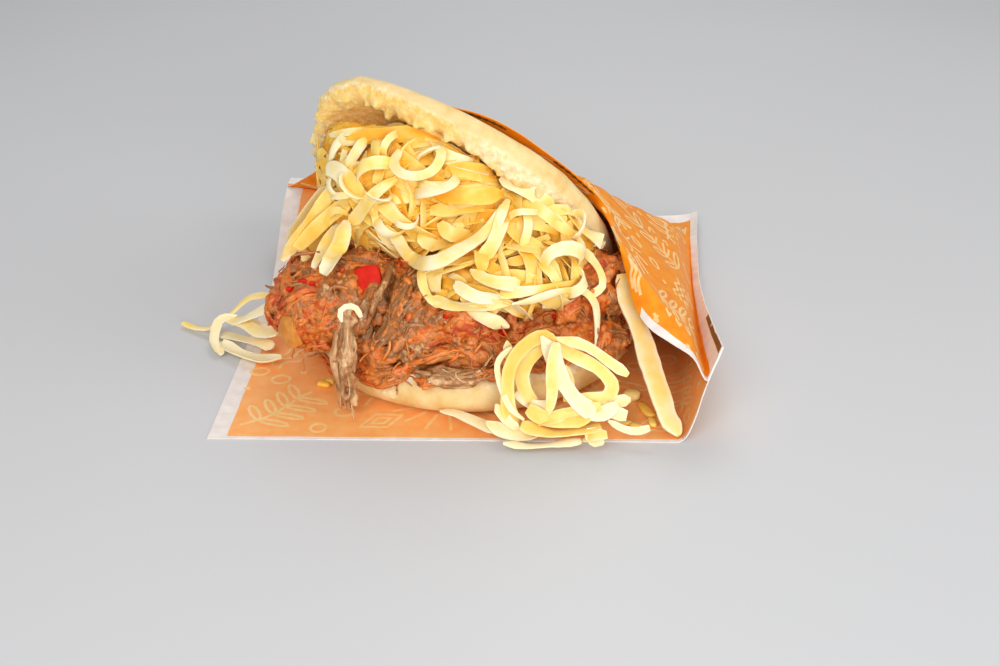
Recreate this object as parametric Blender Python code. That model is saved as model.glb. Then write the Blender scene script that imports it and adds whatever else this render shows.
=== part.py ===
"""A round maize bread, split and opened like a clam, filled with shredded beef and a heap of grated cheese, in a
printed paper bag that is closed along its back and its right side. Metres, +Z up. The origin is on the ground under
the middle of the lower half of the bread. -Y is the side that the mouth opens to, +X the side of the bag's seam."""

import math
import random

import bmesh
import bpy
from mathutils import Vector, noise
from mathutils.bvhtree import BVHTree

MM = 0.001

BREAD_RADIUS = 57.5
LOWER_THICKNESS = 12.6
LOWER_MIDDLE = Vector((0, -3.5, 0))
UPPER_THICKNESS = 9.0
PAPER_THICKNESS = 0.5
CLEARANCE = 0.4
SHRED_WIDTH = 4.2
SHRED_THICKNESS = 1.5

# The eye is where the strips are laid from: what is named by its place in the front view is dropped along the sight
# line from here, onto the heap that it lies on.
EYE = Vector((9, -389, 218))
VIEW_TILT = math.radians(29.5)
VIEW_RIGHT = Vector((1, 0, 0))
VIEW_UP = Vector((0, math.sin(VIEW_TILT), math.cos(VIEW_TILT)))


def clear_scene():
    for old in list(bpy.data.objects):
        bpy.data.objects.remove(old, do_unlink=True)


def new_collection(name, hidden=False):
    collection = bpy.data.collections.new(name)
    bpy.context.scene.collection.children.link(collection)
    collection.hide_render = hidden
    return collection


def material(name, colour, roughness):
    made = bpy.data.materials.new(name)
    made.use_nodes = True
    shader = made.node_tree.nodes["Principled BSDF"]
    shader.inputs["Base Color"].default_value = (*colour, 1.0)
    shader.inputs["Roughness"].default_value = roughness
    shader.inputs["Metallic"].default_value = 0.0
    return made


def add_mesh(name, points, faces, collection, finish=None):
    """A mesh object from points in millimetres, with its faces turned outwards."""
    mesh = bpy.data.meshes.new(name)
    mesh.from_pydata([Vector(p) * MM for p in points], [], faces)
    shape = bmesh.new()
    shape.from_mesh(mesh)
    if shape.calc_volume(signed=True) < 0:
        bmesh.ops.reverse_faces(shape, faces=shape.faces)
        shape.to_mesh(mesh)
    shape.free()
    if finish:
        mesh.materials.append(finish)
    piece = bpy.data.objects.new(name, mesh)
    collection.objects.link(piece)
    return piece


def loft(rings, first=None, last=None):
    """Points and faces through closed rings of one length, with an end drawn to a point where one is given, or flat."""
    count = len(rings[0])
    points = [p for ring in rings for p in ring]
    faces = []
    for r in range(len(rings) - 1):
        low = r * count
        for k in range(count):
            after = (k + 1) % count
            faces.append((low + k, low + after, low + count + after, low + count + k))
    top = (len(rings) - 1) * count
    if first is None:
        faces.append(tuple(reversed(range(count))))
    else:
        points.append(first)
        faces += [(len(points) - 1, (k + 1) % count, k) for k in range(count)]
    if last is None:
        faces.append(tuple(range(top, top + count)))
    else:
        points.append(last)
        faces += [(len(points) - 1, top + k, top + (k + 1) % count) for k in range(count)]
    return points, faces


def smooth_path(knots, steps, closed=False):
    """Points on a Catmull-Rom curve through the knots, with this many steps to each span."""
    knots = [Vector(k) for k in knots]
    count = len(knots)
    spans = count if closed else count - 1
    path = []
    for i in range(spans):
        if closed:
            a, b, c, d = (knots[(i + k) % count] for k in (-1, 0, 1, 2))
        else:
            a, b, c, d = (knots[min(max(i + k, 0), count - 1)] for k in (-1, 0, 1, 2))
        for step in range(steps):
            t = step / steps
            second = 2 * a - 5 * b + 4 * c - d
            third = 3 * b - a - 3 * c + d
            path.append(0.5 * (2 * b + (c - a) * t + second * t**2 + third * t**3))
    if not closed:
        path.append(knots[-1])
    return path


def apply_boolean(target, operation, operand, solver="EXACT"):
    """A Boolean with an object or a whole collection, applied to the target's mesh."""
    cut = target.modifiers.new(operation.title(), "BOOLEAN")
    cut.operation = operation
    cut.solver = solver
    if isinstance(operand, bpy.types.Collection):
        cut.operand_type = "COLLECTION"
        cut.collection = operand
    else:
        cut.object = operand
    graph = bpy.context.evaluated_depsgraph_get()
    made = bpy.data.meshes.new_from_object(target.evaluated_get(graph))
    target.modifiers.clear()
    target.data = made


def nearest(tree, point):
    """Where the surface is nearest to the point, its normal there, and how far out of it the point stands."""
    spot, normal, _, distance = tree.find_nearest(point)
    return spot, normal, distance if (point - spot).dot(normal) >= 0 else -distance


def tree_of(piece):
    """A search tree of the piece's faces, in millimetres."""
    mesh = piece.data
    corners = [v.co / MM for v in mesh.vertices]
    return BVHTree.FromPolygons(corners, [tuple(face.vertices) for face in mesh.polygons])


def smoothstep(low, high, value):
    t = min(max((value - low) / (high - low), 0.0), 1.0)
    return t * t * (3 - 2 * t)


clear_scene()
parts = new_collection("arepa")
tools = new_collection("cutters", hidden=True)

BREAD = material("baked maize dough", (0.88, 0.72, 0.38), 0.7)
BEEF = material("stewed beef", (0.45, 0.16, 0.05), 0.45)
CHEESE = material("grated cheese", (0.93, 0.74, 0.30), 0.5)
PEPPER = material("red pepper", (0.65, 0.06, 0.03), 0.35)
ONION = material("stewed onion", (0.75, 0.38, 0.14), 0.35)
PAPER = material("printed greaseproof paper", (0.90, 0.38, 0.07), 0.55)


# The bread: two halves of one flat round loaf, still joined along a hinge at the back right.

BREAD_SIDES = 34
RIM_STEPS = 2
BASE_LEVEL = PAPER_THICKNESS + CLEARANCE
RIM_KNOTS = (
    (56, 9, 11),
    (50, 4, 25),
    (45, -9, 44),
    (30, -22, 68),
    (8, -25, 84),
    (-13, -18, 92),
    (-35, -3, 94),
    (-48, 7, 84.5),
    (-51, 15, 68),
    (-48, 28, 52),
    (-34, 46, 28),
    (-6, 53, 11),
    (19, 49, 8),
    (39, 37, 8),
    (52, 22, 8),
)
DOME = 5.5
OUTWARD = Vector((0.45, 0.54, 0.71)).normalized()


def lower_half():
    """A flat round cake with a rounded skin, cut across its top, and fuller at its edge than in its middle."""
    top = BASE_LEVEL + LOWER_THICKNESS
    profile = [(0.45, BASE_LEVEL), (0.86, BASE_LEVEL)]
    for degrees in (-62, -32, 0, 32, 58):
        a = math.radians(degrees)
        bulge = 0.86 + 0.14 * math.cos(a)
        profile.append((bulge, BASE_LEVEL + LOWER_THICKNESS * 0.5 * (1 + math.sin(a))))
    profile += [(0.915, top), (0.80, top - 0.6), (0.45, top - 1.2)]
    rings = []
    for share, height in profile:
        ring = []
        for k in range(BREAD_SIDES):
            a = 2 * math.pi * k / BREAD_SIDES
            uneven = 1 + 0.012 * math.sin(3 * a + 0.6) + 0.008 * math.sin(5 * a)
            lift = 0.5 * math.sin(4 * a + 1.0) if height > top - 1 and share > 0.85 else 0.0
            radius = BREAD_RADIUS * share * uneven
            ring.append(LOWER_MIDDLE + Vector((radius * math.cos(a), radius * math.sin(a), height + lift)))
        rings.append(ring)
    first = LOWER_MIDDLE + Vector((0, 0, BASE_LEVEL))
    last = LOWER_MIDDLE + Vector((0, 0, top - 1.4))
    points, faces = loft(rings, first, last)
    return add_mesh("bread", points, faces, parts, BREAD)


def upper_half():
    """The other half, swung up and bent over the heap: a dished round with its skin rolled over its edge."""
    rim = smooth_path(RIM_KNOTS, RIM_STEPS, closed=True)
    middle = sum(rim, Vector()) / len(rim)
    count = len(rim)

    def outer(share):
        return [middle + (p - middle) * share + OUTWARD * DOME * (1 - share**2) for p in rim]

    rings = [outer(share) for share in (0.30, 0.62, 0.86, 0.97)]
    edge = []
    for k in range(count):
        along = (rim[(k + 1) % count] - rim[k - 1]).normalized()
        out = (rim[k] - middle) - OUTWARD * 2 * DOME
        out = (out - along * out.dot(along)).normalized()
        up = along.cross(out)
        if up.dot(OUTWARD) < 0:
            up = -up
        edge.append((out, up))
    half = UPPER_THICKNESS / 2
    for degrees in (62, 22, -20, -58):
        a = math.radians(degrees)
        rings.append(
            [
                rim[k] + edge[k][0] * 2.6 * (math.cos(a) - 0.4) + edge[k][1] * half * (math.sin(a) - 1)
                for k in range(count)
            ]
        )
    rings.append([rim[k] - edge[k][0] * 1.0 - edge[k][1] * UPPER_THICKNESS for k in range(count)])
    for share, thickness in ((0.86, 0.98), (0.62, 0.92), (0.30, 0.86)):
        rings.append([p - OUTWARD * UPPER_THICKNESS * thickness for p in outer(share)])
    first = middle + OUTWARD * DOME
    last = first - OUTWARD * UPPER_THICKNESS * 0.86
    points, faces = loft(rings, first, last)
    return add_mesh("upper half", points, faces, tools)


def keep_largest_shell(piece):
    """Leaves the one closed shell that holds the most, so that scraps and sealed hollows go."""
    mesh = bmesh.new()
    mesh.from_mesh(piece.data)
    bmesh.ops.triangulate(mesh, faces=mesh.faces)
    mesh.faces.ensure_lookup_table()
    seen = set()
    shells = []
    for start in mesh.faces:
        if start in seen:
            continue
        seen.add(start)
        shell = []
        waiting = [start]
        while waiting:
            face = waiting.pop()
            shell.append(face)
            for edge in face.edges:
                for other in edge.link_faces:
                    if other not in seen:
                        seen.add(other)
                        waiting.append(other)
        shells.append(shell)

    def volume(shell):
        corners = ([v.co for v in face.verts] for face in shell)
        return sum(a.dot(b.cross(c)) for a, b, c in corners)

    shells.sort(key=volume)
    scraps = {v for shell in shells[:-1] for face in shell for v in face.verts}
    bmesh.ops.delete(mesh, geom=list(scraps), context="VERTS")
    mesh.to_mesh(piece.data)
    mesh.free()


def beyond_upper_half(reach=1.45, depth=90.0):
    """All that lies behind the upper half's inner face: what is cut from a heap that leans against it."""
    rim = smooth_path(RIM_KNOTS, 1, closed=True)
    middle = sum(rim, Vector()) / len(rim)
    inward = OUTWARD * (UPPER_THICKNESS + 2 * CLEARANCE)
    rings = []
    for share, rise in ((0.5, 0.7), (1.0, 0.0), (reach, 0.0)):
        rings.append([middle + (p - middle) * share + OUTWARD * DOME * rise - inward for p in rim])
    rings.append([p + OUTWARD * depth for p in rings[-1]])
    points, faces = loft(rings, middle + OUTWARD * DOME - inward)
    return add_mesh("beyond", points, faces, tools)


bread = lower_half()
upper = upper_half()
apply_boolean(bread, "UNION", upper)
bpy.data.objects.remove(upper, do_unlink=True)
keep_largest_shell(bread)


# The bag: two sheets of thin paper, sealed to each other in a flange along the right side and the back, and open
# at the front and the left. The lower sheet lies on the ground and curls up to the seam; the upper one lies over
# the bread.

BAG_STEPS = 14
FLANGE_SHARE = 0.05
FOLD_SHARE = 0.83
FRONT_LEFT = Vector((-81, -70, 0))
BACK_LEFT = Vector((-75, 80, 0))
FRONT_FOLD = Vector((67, -72, 0))
BACK_FOLD = Vector((84, 90, 0))
BACK_LEFT_LIFT = 24
LIFT_REACH = 56
BACK_LIFT = 3
SEAM_EDGE = (
    (77, -62, 28),
    (79, -30, 20),
    (81, 0, 12),
    (85, 40, 6),
    (92, 92, 4),
)
FRONT_EDGE = (
    (-32, 12, 85),
    (-12, -9, 87),
    (9, -18, 83.4),
    (28, -18, 70),
    (44, -14, 52.5),
    (49, -28, 39.5),
    (53, -47, 30),
    (63, -60, 27),
    (73, -65, 22),
)
LEFT_EDGE = (
    (-32, 12, 85),
    (-38, 26, 74),
    (-50, 46, 50),
    (-62, 64, 34),
    (-74, 73, 24),
)
# The upper sheet is stiff enough to stand out from the bread: a ridge runs down from the bread's shoulder to the back
# right corner, with a flat face to each side of it. Each face falls from the shoulder at these slopes along X and Y.
SHOULDER = Vector((47, 25, 43))
FACE_SLOPES = ((0.88, 0.02), (0.32, 0.65))
SEAM_FOOT = 4.0
SEAM_SLOPE = 0.7
SEAM_BACK = 84.0
STIFF_LEFT = 18.0
PAPER_STANDOFF = 2.0
DRAPE_ROUNDS = 6


def along(knots, share):
    """The point at this share of the way along the curve through the knots."""
    path = smooth_path(knots, 8)
    place = share * (len(path) - 1)
    at = min(int(place), len(path) - 2)
    return path[at].lerp(path[at + 1], place - at)


def lower_sheet(u, v):
    """The lower sheet's underside, u from the left to the seam and v from the front to the back."""
    seam = along(SEAM_EDGE, v)
    fold = FRONT_FOLD.lerp(BACK_FOLD, v)
    if u < FOLD_SHARE:
        place = FRONT_LEFT.lerp(BACK_LEFT, v).lerp(fold, u / FOLD_SHARE)
    else:
        t = (u - FOLD_SHARE) / (1 - FOLD_SHARE)
        place = fold.lerp(Vector((seam.x, seam.y, 0)), t**1.6)
        place.z = seam.z * t**1.2
    corner = BACK_LEFT_LIFT * (1 - smoothstep(4, LIFT_REACH, (BACK_LEFT - place).to_2d().length))
    back = BACK_LIFT * smoothstep(0.85, 1.0, v)
    place.z = max(place.z, corner, back)
    return place


def stiff_height(place):
    """The lowest that the upper sheet hangs over this place."""
    heights = [SEAM_FOOT + SEAM_SLOPE * (SEAM_BACK - place.y), SHOULDER.z + place.x - STIFF_LEFT]
    for across, back in FACE_SLOPES:
        heights.append(SHOULDER.z - across * (place.x - SHOULDER.x) - back * (place.y - SHOULDER.y))
    return min(heights)


def grid_normals(grid):
    """The upward normal at each point of a grid of points."""
    last = len(grid) - 1
    normals = []
    for i in range(last + 1):
        row = []
        for j in range(last + 1):
            across = grid[min(i + 1, last)][j] - grid[max(i - 1, 0)][j]
            back = grid[i][min(j + 1, last)] - grid[i][max(j - 1, 0)]
            row.append(across.cross(back).normalized())
        normals.append(row)
    return normals


def upper_sheet(shares, lower, lift):
    """The upper sheet's underside: a patch between its four edges, settled over the bread like a cloth."""
    last = len(shares) - 1
    inner = last - 1
    obstacle = tree_of(bread)
    grid = [[Vector() for _ in shares] for _ in shares]
    for i in range(last + 1):
        for j in range(last + 1):
            if i >= inner or j >= inner:
                grid[i][j] = lower[i][j] + lift[i][j] * PAPER_THICKNESS
    for i in range(inner):
        grid[i][0] = along(FRONT_EDGE, i / inner)
        grid[0][i] = along(LEFT_EDGE, i / inner)
    for i in range(1, inner):
        for j in range(1, inner):
            u, v = i / inner, j / inner
            sides = grid[i][0].lerp(grid[i][inner], v) + grid[0][j].lerp(grid[inner][j], u)
            ends = grid[0][0].lerp(grid[inner][0], u).lerp(grid[0][inner].lerp(grid[inner][inner], u), v)
            grid[i][j] = sides - ends
    for _ in range(DRAPE_ROUNDS):
        for i in range(1, inner):
            for j in range(1, inner):
                around = grid[i - 1][j] + grid[i + 1][j] + grid[i][j - 1] + grid[i][j + 1]
                place = grid[i][j].lerp(around / 4, 0.7)
                place.z = max(place.z, stiff_height(place))
                spot, normal, out = nearest(obstacle, place)
                if out < PAPER_STANDOFF:
                    place = spot + normal * PAPER_STANDOFF
                grid[i][j] = place
    return grid


def paper_bag():
    inner = BAG_STEPS
    last = inner + 1
    shares = [(1 - FLANGE_SHARE) * i / inner for i in range(last)] + [1.0]
    lower = [[lower_sheet(u, v) for v in shares] for u in shares]
    lift = grid_normals(lower)
    upper = upper_sheet(shares, lower, lift)
    points = []
    under, inside_low, inside_top, over = ([[0] * (last + 1) for _ in shares] for _ in range(4))

    def put(point):
        points.append(point)
        return len(points) - 1

    rise = grid_normals(upper)
    for i in range(last + 1):
        for j in range(last + 1):
            under[i][j] = put(lower[i][j])
            flange = i >= inner or j >= inner
            over[i][j] = put(upper[i][j] + (lift if flange else rise)[i][j] * PAPER_THICKNESS)
            if i <= inner and j <= inner:
                inside_low[i][j] = put(lower[i][j] + lift[i][j] * PAPER_THICKNESS)
                inside_top[i][j] = inside_low[i][j] if flange else put(upper[i][j])
    faces = []

    def patch(grid, size, up):
        for i in range(size):
            for j in range(size):
                a, b, c, d = grid[i][j], grid[i + 1][j], grid[i + 1][j + 1], grid[i][j + 1]
                faces.extend([(a, b, c), (a, c, d)] if up else [(c, b, a), (d, c, a)])

    patch(under, last, False)
    patch(over, last, True)
    patch(inside_low, inner, True)
    patch(inside_top, inner, False)
    for k in range(last):
        faces.append((under[last][k], under[last][k + 1], over[last][k + 1], over[last][k]))
        faces.append((under[k + 1][last], under[k][last], over[k][last], over[k + 1][last]))
        if k < inner:
            faces.append((under[k][0], under[k + 1][0], inside_low[k + 1][0], inside_low[k][0]))
            faces.append((inside_top[k][0], inside_top[k + 1][0], over[k + 1][0], over[k][0]))
            faces.append((under[0][k + 1], under[0][k], inside_low[0][k], inside_low[0][k + 1]))
            faces.append((inside_top[0][k + 1], inside_top[0][k], over[0][k], over[0][k + 1]))
    faces.append((under[inner][0], under[last][0], over[last][0], over[inner][0], inside_low[inner][0]))
    faces.append((under[0][last], under[0][inner], inside_low[0][inner], over[0][inner], over[0][last]))
    return add_mesh("paper_bag", points, faces, parts, PAPER)


bag = paper_bag()


# The fillings are heaps. Each is a core of rounded lumps, with the pieces that show fused on. A piece that would touch
# another node is left out, and what a heap lies on is cut from it with a small clearance.

LUMP_SIDES = 12
LUMP_RINGS = 7
MOST_SHREDS = 23
MOST_STRIPS = 30
STRIP_GAP = 0.9
ARCH = 3.2
DRAPE = 2.6

random.seed(7)


def lump(centre, radii, turn, grain, seed):
    """A rounded lump as long as its radii say, turned about Z, with an uneven face."""
    mesh = bmesh.new()
    bmesh.ops.create_uvsphere(mesh, u_segments=LUMP_SIDES, v_segments=LUMP_RINGS, radius=1.0)
    cos, sin = math.cos(math.radians(turn)), math.sin(math.radians(turn))
    points = []
    for v in mesh.verts:
        uneven = 1 + grain * noise.noise(v.co * 2.1 + Vector((seed * 7.3, seed * 3.1, 0)))
        x, y, z = (v.co[k] * radii[k] * uneven for k in range(3))
        points.append(Vector(centre) + Vector((x * cos - y * sin, x * sin + y * cos, z)))
    faces = [tuple(v.index for v in face.verts) for face in mesh.faces]
    mesh.free()
    return points, faces


def core_of(name, lumps, grain, finish):
    """One solid of several lumps, each given as centre, radii and turn."""
    collection = new_collection(name + " lumps", hidden=True)
    core = None
    for k, (centre, radii, turn) in enumerate(lumps):
        points, faces = lump(centre, radii, turn, grain, k)
        home = parts if core is None else collection
        made = add_mesh(name if core is None else f"{name} lump {k}", points, faces, home, finish)
        core = core or made
    apply_boolean(core, "UNION", collection, "MANIFOLD")
    drop_collection(collection)
    return core


def drop_collection(collection):
    for piece in list(collection.objects):
        bpy.data.objects.remove(piece, do_unlink=True)
    bpy.data.collections.remove(collection)


def cut_clear(target, neighbour, by=CLEARANCE):
    """Cuts the neighbour from the target, grown by the clearance."""
    cutter = neighbour.copy()
    cutter.data = neighbour.data.copy()
    tools.objects.link(cutter)
    grow = cutter.modifiers.new("Grow", "DISPLACE")
    grow.strength = by * MM
    grow.mid_level = 0.0
    apply_boolean(target, "DIFFERENCE", cutter, "MANIFOLD")
    bpy.data.objects.remove(cutter, do_unlink=True)
    keep_largest_shell(target)


def ribbon(path, faces_up, width, thickness, taper=0.7):
    """A strip of rectangular section along the path, its flat side towards the directions given."""
    rings = []
    last = len(path) - 1
    for k, place in enumerate(path):
        way = (path[min(k + 1, last)] - path[max(k - 1, 0)]).normalized()
        up = (faces_up[k] - way * faces_up[k].dot(way)).normalized()
        side = way.cross(up)
        ends = taper if k in (0, last) else 1.0
        half = side * width * ends / 2
        rise = up * thickness * ends / 2
        rings.append([place + half - rise, place + half + rise, place - half + rise, place - half - rise])
    return loft(rings)


def fibre(path, width, height, faces_up, sides=5, ends=0.35):
    """A shred of meat: a rounded strand that thins to its ends."""
    rings = []
    last = len(path) - 1
    for k, place in enumerate(path):
        way = (path[min(k + 1, last)] - path[max(k - 1, 0)]).normalized()
        up = (faces_up[k] - way * faces_up[k].dot(way)).normalized()
        side = way.cross(up)
        fat = ends + (1 - ends) * math.sin(math.pi * min(max(k / last, 0.08), 0.92)) ** 0.6
        ring = []
        for n in range(sides):
            a = -2 * math.pi * n / sides
            rough = fat * (1 + 0.22 * noise.noise(place * 0.35 + Vector((n * 3.3, 0, 0))))
            ring.append(place + side * math.cos(a) * width / 2 * rough + up * math.sin(a) * height / 2 * rough)
        rings.append(ring)
    return loft(rings)


def sight(x, y):
    """The direction from the eye to a point of the front view, in millimetres right of and above the origin."""
    return (VIEW_RIGHT * x + VIEW_UP * y - EYE).normalized()


def arched(share):
    """How far a strip stands over its heap at this share of its length: both its ends are sunk into the heap."""
    return ARCH * math.sin(math.pi * share)


def draped(share):
    """The same for a strip that only starts in its heap, and lies over whatever is below."""
    return DRAPE * smoothstep(0.0, 0.3, share)


def laid_from_front(trees, start, heading, length, bend, steps, lift):
    """A path drawn in the front view and dropped along the line of sight onto the nearest of the trees."""
    x, y = start
    path, ups = [], []
    for k in range(steps + 1):
        way = sight(x, y)
        hits = [tree.ray_cast(EYE, way) for tree in trees]
        hits = [hit for hit in hits if hit[0] is not None]
        if hits:
            spot, normal, _, _ = min(hits, key=lambda hit: hit[3])
            path.append(spot + normal * lift(k / steps))
            ups.append(normal)
        a = math.radians(heading + bend * k / steps)
        x += math.cos(a) * length / steps
        y += math.sin(a) * length / steps
    return path, ups


def laid_by_walking(tree, start, normal, heading, length, bend, steps, lift):
    """A path that starts on the surface and follows it, turning as it goes."""
    across = normal.cross(Vector((0.3, 0.5, 0.8))).normalized()
    ahead = across * math.cos(heading) + normal.cross(across) * math.sin(heading)
    path, ups = [], []
    place = start
    turn = math.radians(bend) / steps
    for k in range(steps + 1):
        path.append(place + normal * lift(k / steps))
        ups.append(normal)
        ahead = (ahead - normal * ahead.dot(normal)).normalized()
        ahead = ahead * math.cos(turn) + normal.cross(ahead) * math.sin(turn)
        place, normal, _ = nearest(tree, place + ahead * length / steps)
    return path, ups


def is_inside(point, tree):
    """Whether a line out from the point crosses the tree's closed surface an odd number of times."""
    way = Vector((0.31, 0.22, 0.92)).normalized()
    crossings = 0
    spot = tree.ray_cast(point, way)[0]
    while spot is not None and crossings < 40:
        crossings += 1
        spot = tree.ray_cast(spot + way * 0.001, way)[0]
    return crossings % 2 == 1


def is_clear(points, trees, gap=CLEARANCE):
    """Whether all the points stand this far out of every tree, and over the ground."""
    if min(p.z for p in points) < gap:
        return False
    for tree in trees:
        for p in points:
            spot, normal, _, distance = tree.find_nearest(p)
            if distance < gap:
                return False
            if distance < 12 and (p - spot).dot(normal) < 0 and is_inside(p, tree):
                return False
    return True


def fuse(core, shapes, finish):
    """Joins loose shapes, each points and faces, to the core in one Boolean union."""
    collection = new_collection(core.name + " pieces", hidden=True)
    for k, (points, faces) in enumerate(shapes):
        add_mesh(f"{core.name} piece {k}", points, faces, collection, finish)
    apply_boolean(core, "UNION", collection, "MANIFOLD")
    drop_collection(collection)
    keep_largest_shell(core)


# The beef: long cooked fibres, pulled apart and stirred into their sauce, heaped on the lower half of the bread.

BEEF_LUMPS = (
    ((-43, -24, 25), (22, 20, 15), 20),
    ((-8, -20, 24), (38, 28, 15), 0),
    ((33, -14, 26), (21, 25, 15), -15),
    ((-5, 14, 25), (42, 28, 14), 0),
    ((3, -30, 17), (46, 26, 9.5), 0),
)
# Shreds that show in front, by where they start in the front view, which way they head, how long they are and how
# much they bend, and their width and height.
BEEF_SHREDS = (
    (-21, 21, 228, 33, 12, 11, 7),
    (-30, 25, 235, 30, -20, 7, 5),
    (-24, -15, -4, 34, 8, 6, 5),
    (-12, 5, -25, 20, 30, 11, 9),
    (-66, 16, -60, 26, 40, 9, 7),
    (-58, 20, -30, 26, -60, 8, 6),
    (-68, 2, -50, 20, 30, 8, 6),
    (-20, 2, 200, 24, 40, 8, 6),
    (4, -6, 20, 24, -50, 8, 6),
    (20, 10, 5, 26, -30, 9, 7),
    (46, 12, -80, 24, 20, 9, 7),
    (40, 2, 190, 20, -30, 8, 6),
    (-36, -6, -35, 22, 20, 7, 5),
    (14, -12, 160, 22, 20, 7, 5),
    (52, 14, -95, 22, 30, 8, 6),
    (-50, 30, -20, 20, 20, 7, 5),
)
HANGING_SHRED = ((-39.5, -40, 32), (-40, -48, 23), (-39, -54.5, 13), (-38, -58, 4))
HANGING_SIZE = (7.5, 6.0)
# The part of its own height that a shred's middle line stands over the core.
SUNK = 0.2

CHEESE_LUMPS = (
    ((-14, -6, 58), (33, 23, 25), 0),
    ((-34, 0, 62), (17, 20, 22), 0),
    ((18, -13, 48), (28, 20, 17), -10),
    ((7, -31, 37), (27, 17, 12), 0),
    ((-16, -2, 72), (26, 18, 14), 0),
    ((-2, 16, 46), (36, 22, 22), 0),
)

beyond = beyond_upper_half()
beef = core_of("shredded_beef", BEEF_LUMPS, 0.16, BEEF)
cheese = core_of("cheese_heap", CHEESE_LUMPS, 0.14, CHEESE)
for heap in (beef, cheese):
    apply_boolean(heap, "DIFFERENCE", beyond, "MANIFOLD")
    cut_clear(heap, bread)
cut_clear(cheese, bag)
cut_clear(cheese, beef)
bpy.data.objects.remove(beyond, do_unlink=True)
beef_face = tree_of(beef)
bread_face = tree_of(bread)
bag_face = tree_of(bag)
cheese_face = tree_of(cheese)

shapes = []
for x, y, heading, length, bend, width, height in BEEF_SHREDS:
    path, ups = laid_from_front([beef_face], (x, y), heading, length, bend, 5, lambda share: height * SUNK)
    if len(path) < 4:
        continue
    shred = fibre(path, width, height, ups)
    if is_clear(shred[0], (bread_face, bag_face, cheese_face)):
        shapes.append(shred)
hanging = smooth_path(HANGING_SHRED, 2)
shapes.append(fibre(hanging, *HANGING_SIZE, [Vector((-0.5, -0.8, 0.2))] * len(hanging)))
for _ in range(90):
    towards = Vector((random.uniform(-1, 1), random.uniform(-1, 0.6), random.uniform(-0.1, 0.9))).normalized()
    seat = Vector((random.uniform(-40, 35), -14, 24))
    spot, normal, _, _ = beef_face.ray_cast(seat + towards * 90, -towards)
    heading, length = random.uniform(0, 6.3), random.uniform(14, 24)
    bend, width = random.uniform(-80, 80), random.uniform(4.5, 7.5)
    if spot is None or len(shapes) >= MOST_SHREDS:
        continue
    path, ups = laid_by_walking(beef_face, spot, normal, heading, length, bend, 4, lambda share: width * SUNK)
    shred = fibre(path, width, width * 0.8, ups)
    if is_clear(shred[0], (bread_face, bag_face, cheese_face)):
        shapes.append(shred)
fuse(beef, shapes, BEEF)


# Pieces of vegetable in the beef: a square of red pepper and two soft petals of onion, each pressed into it.

# Each one's place in the front view, the way it faces, its width, length and thickness, its turn and how far it curls.
TOPPINGS = {
    "red_pepper": ((-37, 15.5), (-0.15, -0.85, 0.5), (10.0, 12.5, 2.6), 14, 2, PEPPER),
    "onion_left": ((-65, -1), (-0.75, -0.65, 0.15), (9.0, 11.0, 3.0), 20, 6, ONION),
    "onion_right": ((26, 6), (0.1, -0.9, 0.4), (9.0, 11.0, 3.0), 60, 5, ONION),
}
PETAL_SIDES = 12
PETAL_STANDS = 0.6


def petal(name, place, facing, size, turn, curl, finish):
    """A slightly curled plate with rounded corners, pressed into the beef."""
    spot = tree_of(beef).ray_cast(EYE, sight(*place))[0]
    normal = Vector(facing).normalized()
    width, length, thickness = size
    across = normal.cross(Vector((0, 0, 1))).normalized()
    a = math.radians(turn)
    side = across * math.cos(a) + normal.cross(across) * math.sin(a)
    along_it = normal.cross(side)
    rings = []
    for level in (-0.5, -0.25, 0.25, 0.5):
        inset = 0.88 if abs(level) == 0.5 else 1.0
        ring = []
        for k in range(PETAL_SIDES):
            b = 2 * math.pi * k / PETAL_SIDES
            x = math.copysign(abs(math.cos(b)) ** 0.5, math.cos(b)) * width / 2 * inset
            y = math.copysign(abs(math.sin(b)) ** 0.5, math.sin(b)) * length / 2 * inset
            rise = (level + PETAL_STANDS) * thickness - curl * (y / length) ** 2
            ring.append(spot + side * x + along_it * y + normal * rise)
        rings.append(ring)
    points, faces = loft(rings)
    made = add_mesh(name, points, faces, parts, finish)
    keep_largest_shell(made)
    return made


toppings = [petal(name, *values) for name, values in TOPPINGS.items()]
for topping in toppings:
    cut_clear(beef, topping)
    cut_clear(cheese, topping)


# The cheese: thin flat strips from a grater, heaped between the beef and the upper half.

# Strips that show in front, given as the shreds of beef are, with their width.
CHEESE_STRIPS = (
    (-50, 58, -42, 26, 30, 6.0),
    (-46, 40, -60, 24, -30, 5.0),
    (-34, 58, -95, 34, 60, 4.5),
    (-24, 58, -150, 36, 200, 4.0),
    (-18, 34, -20, 44, 70, 4.5),
    (24, 50, -110, 40, -50, 4.5),
    (-10, 20, -10, 34, 40, 4.5),
    (4, 24, -60, 24, 30, 5.0),
    (30, 36, -95, 22, 10, 3.6),
    (14, 46, -170, 30, 40, 5.0),
    (-40, 66, -10, 34, -10, 5.0),
    (8, 14, -30, 22, 20, 5.0),
    (30, 24, 180, 30, 30, 4.0),
    (40, 26, -100, 18, 30, 3.6),
)
# Strips that start in the heap and hang over the beef.
HANGING_STRIPS = (
    (-44, 36, -60, 26, 15, 5.0),
    (-16, 24, -100, 24, 90, 4.0),
    (-6, 14, -50, 24, 30, 5.0),
    (8, 12, -35, 22, 0, 5.0),
    (16, 8, -100, 24, 60, 4.0),
    (38, 24, -95, 24, -20, 3.6),
)
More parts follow.
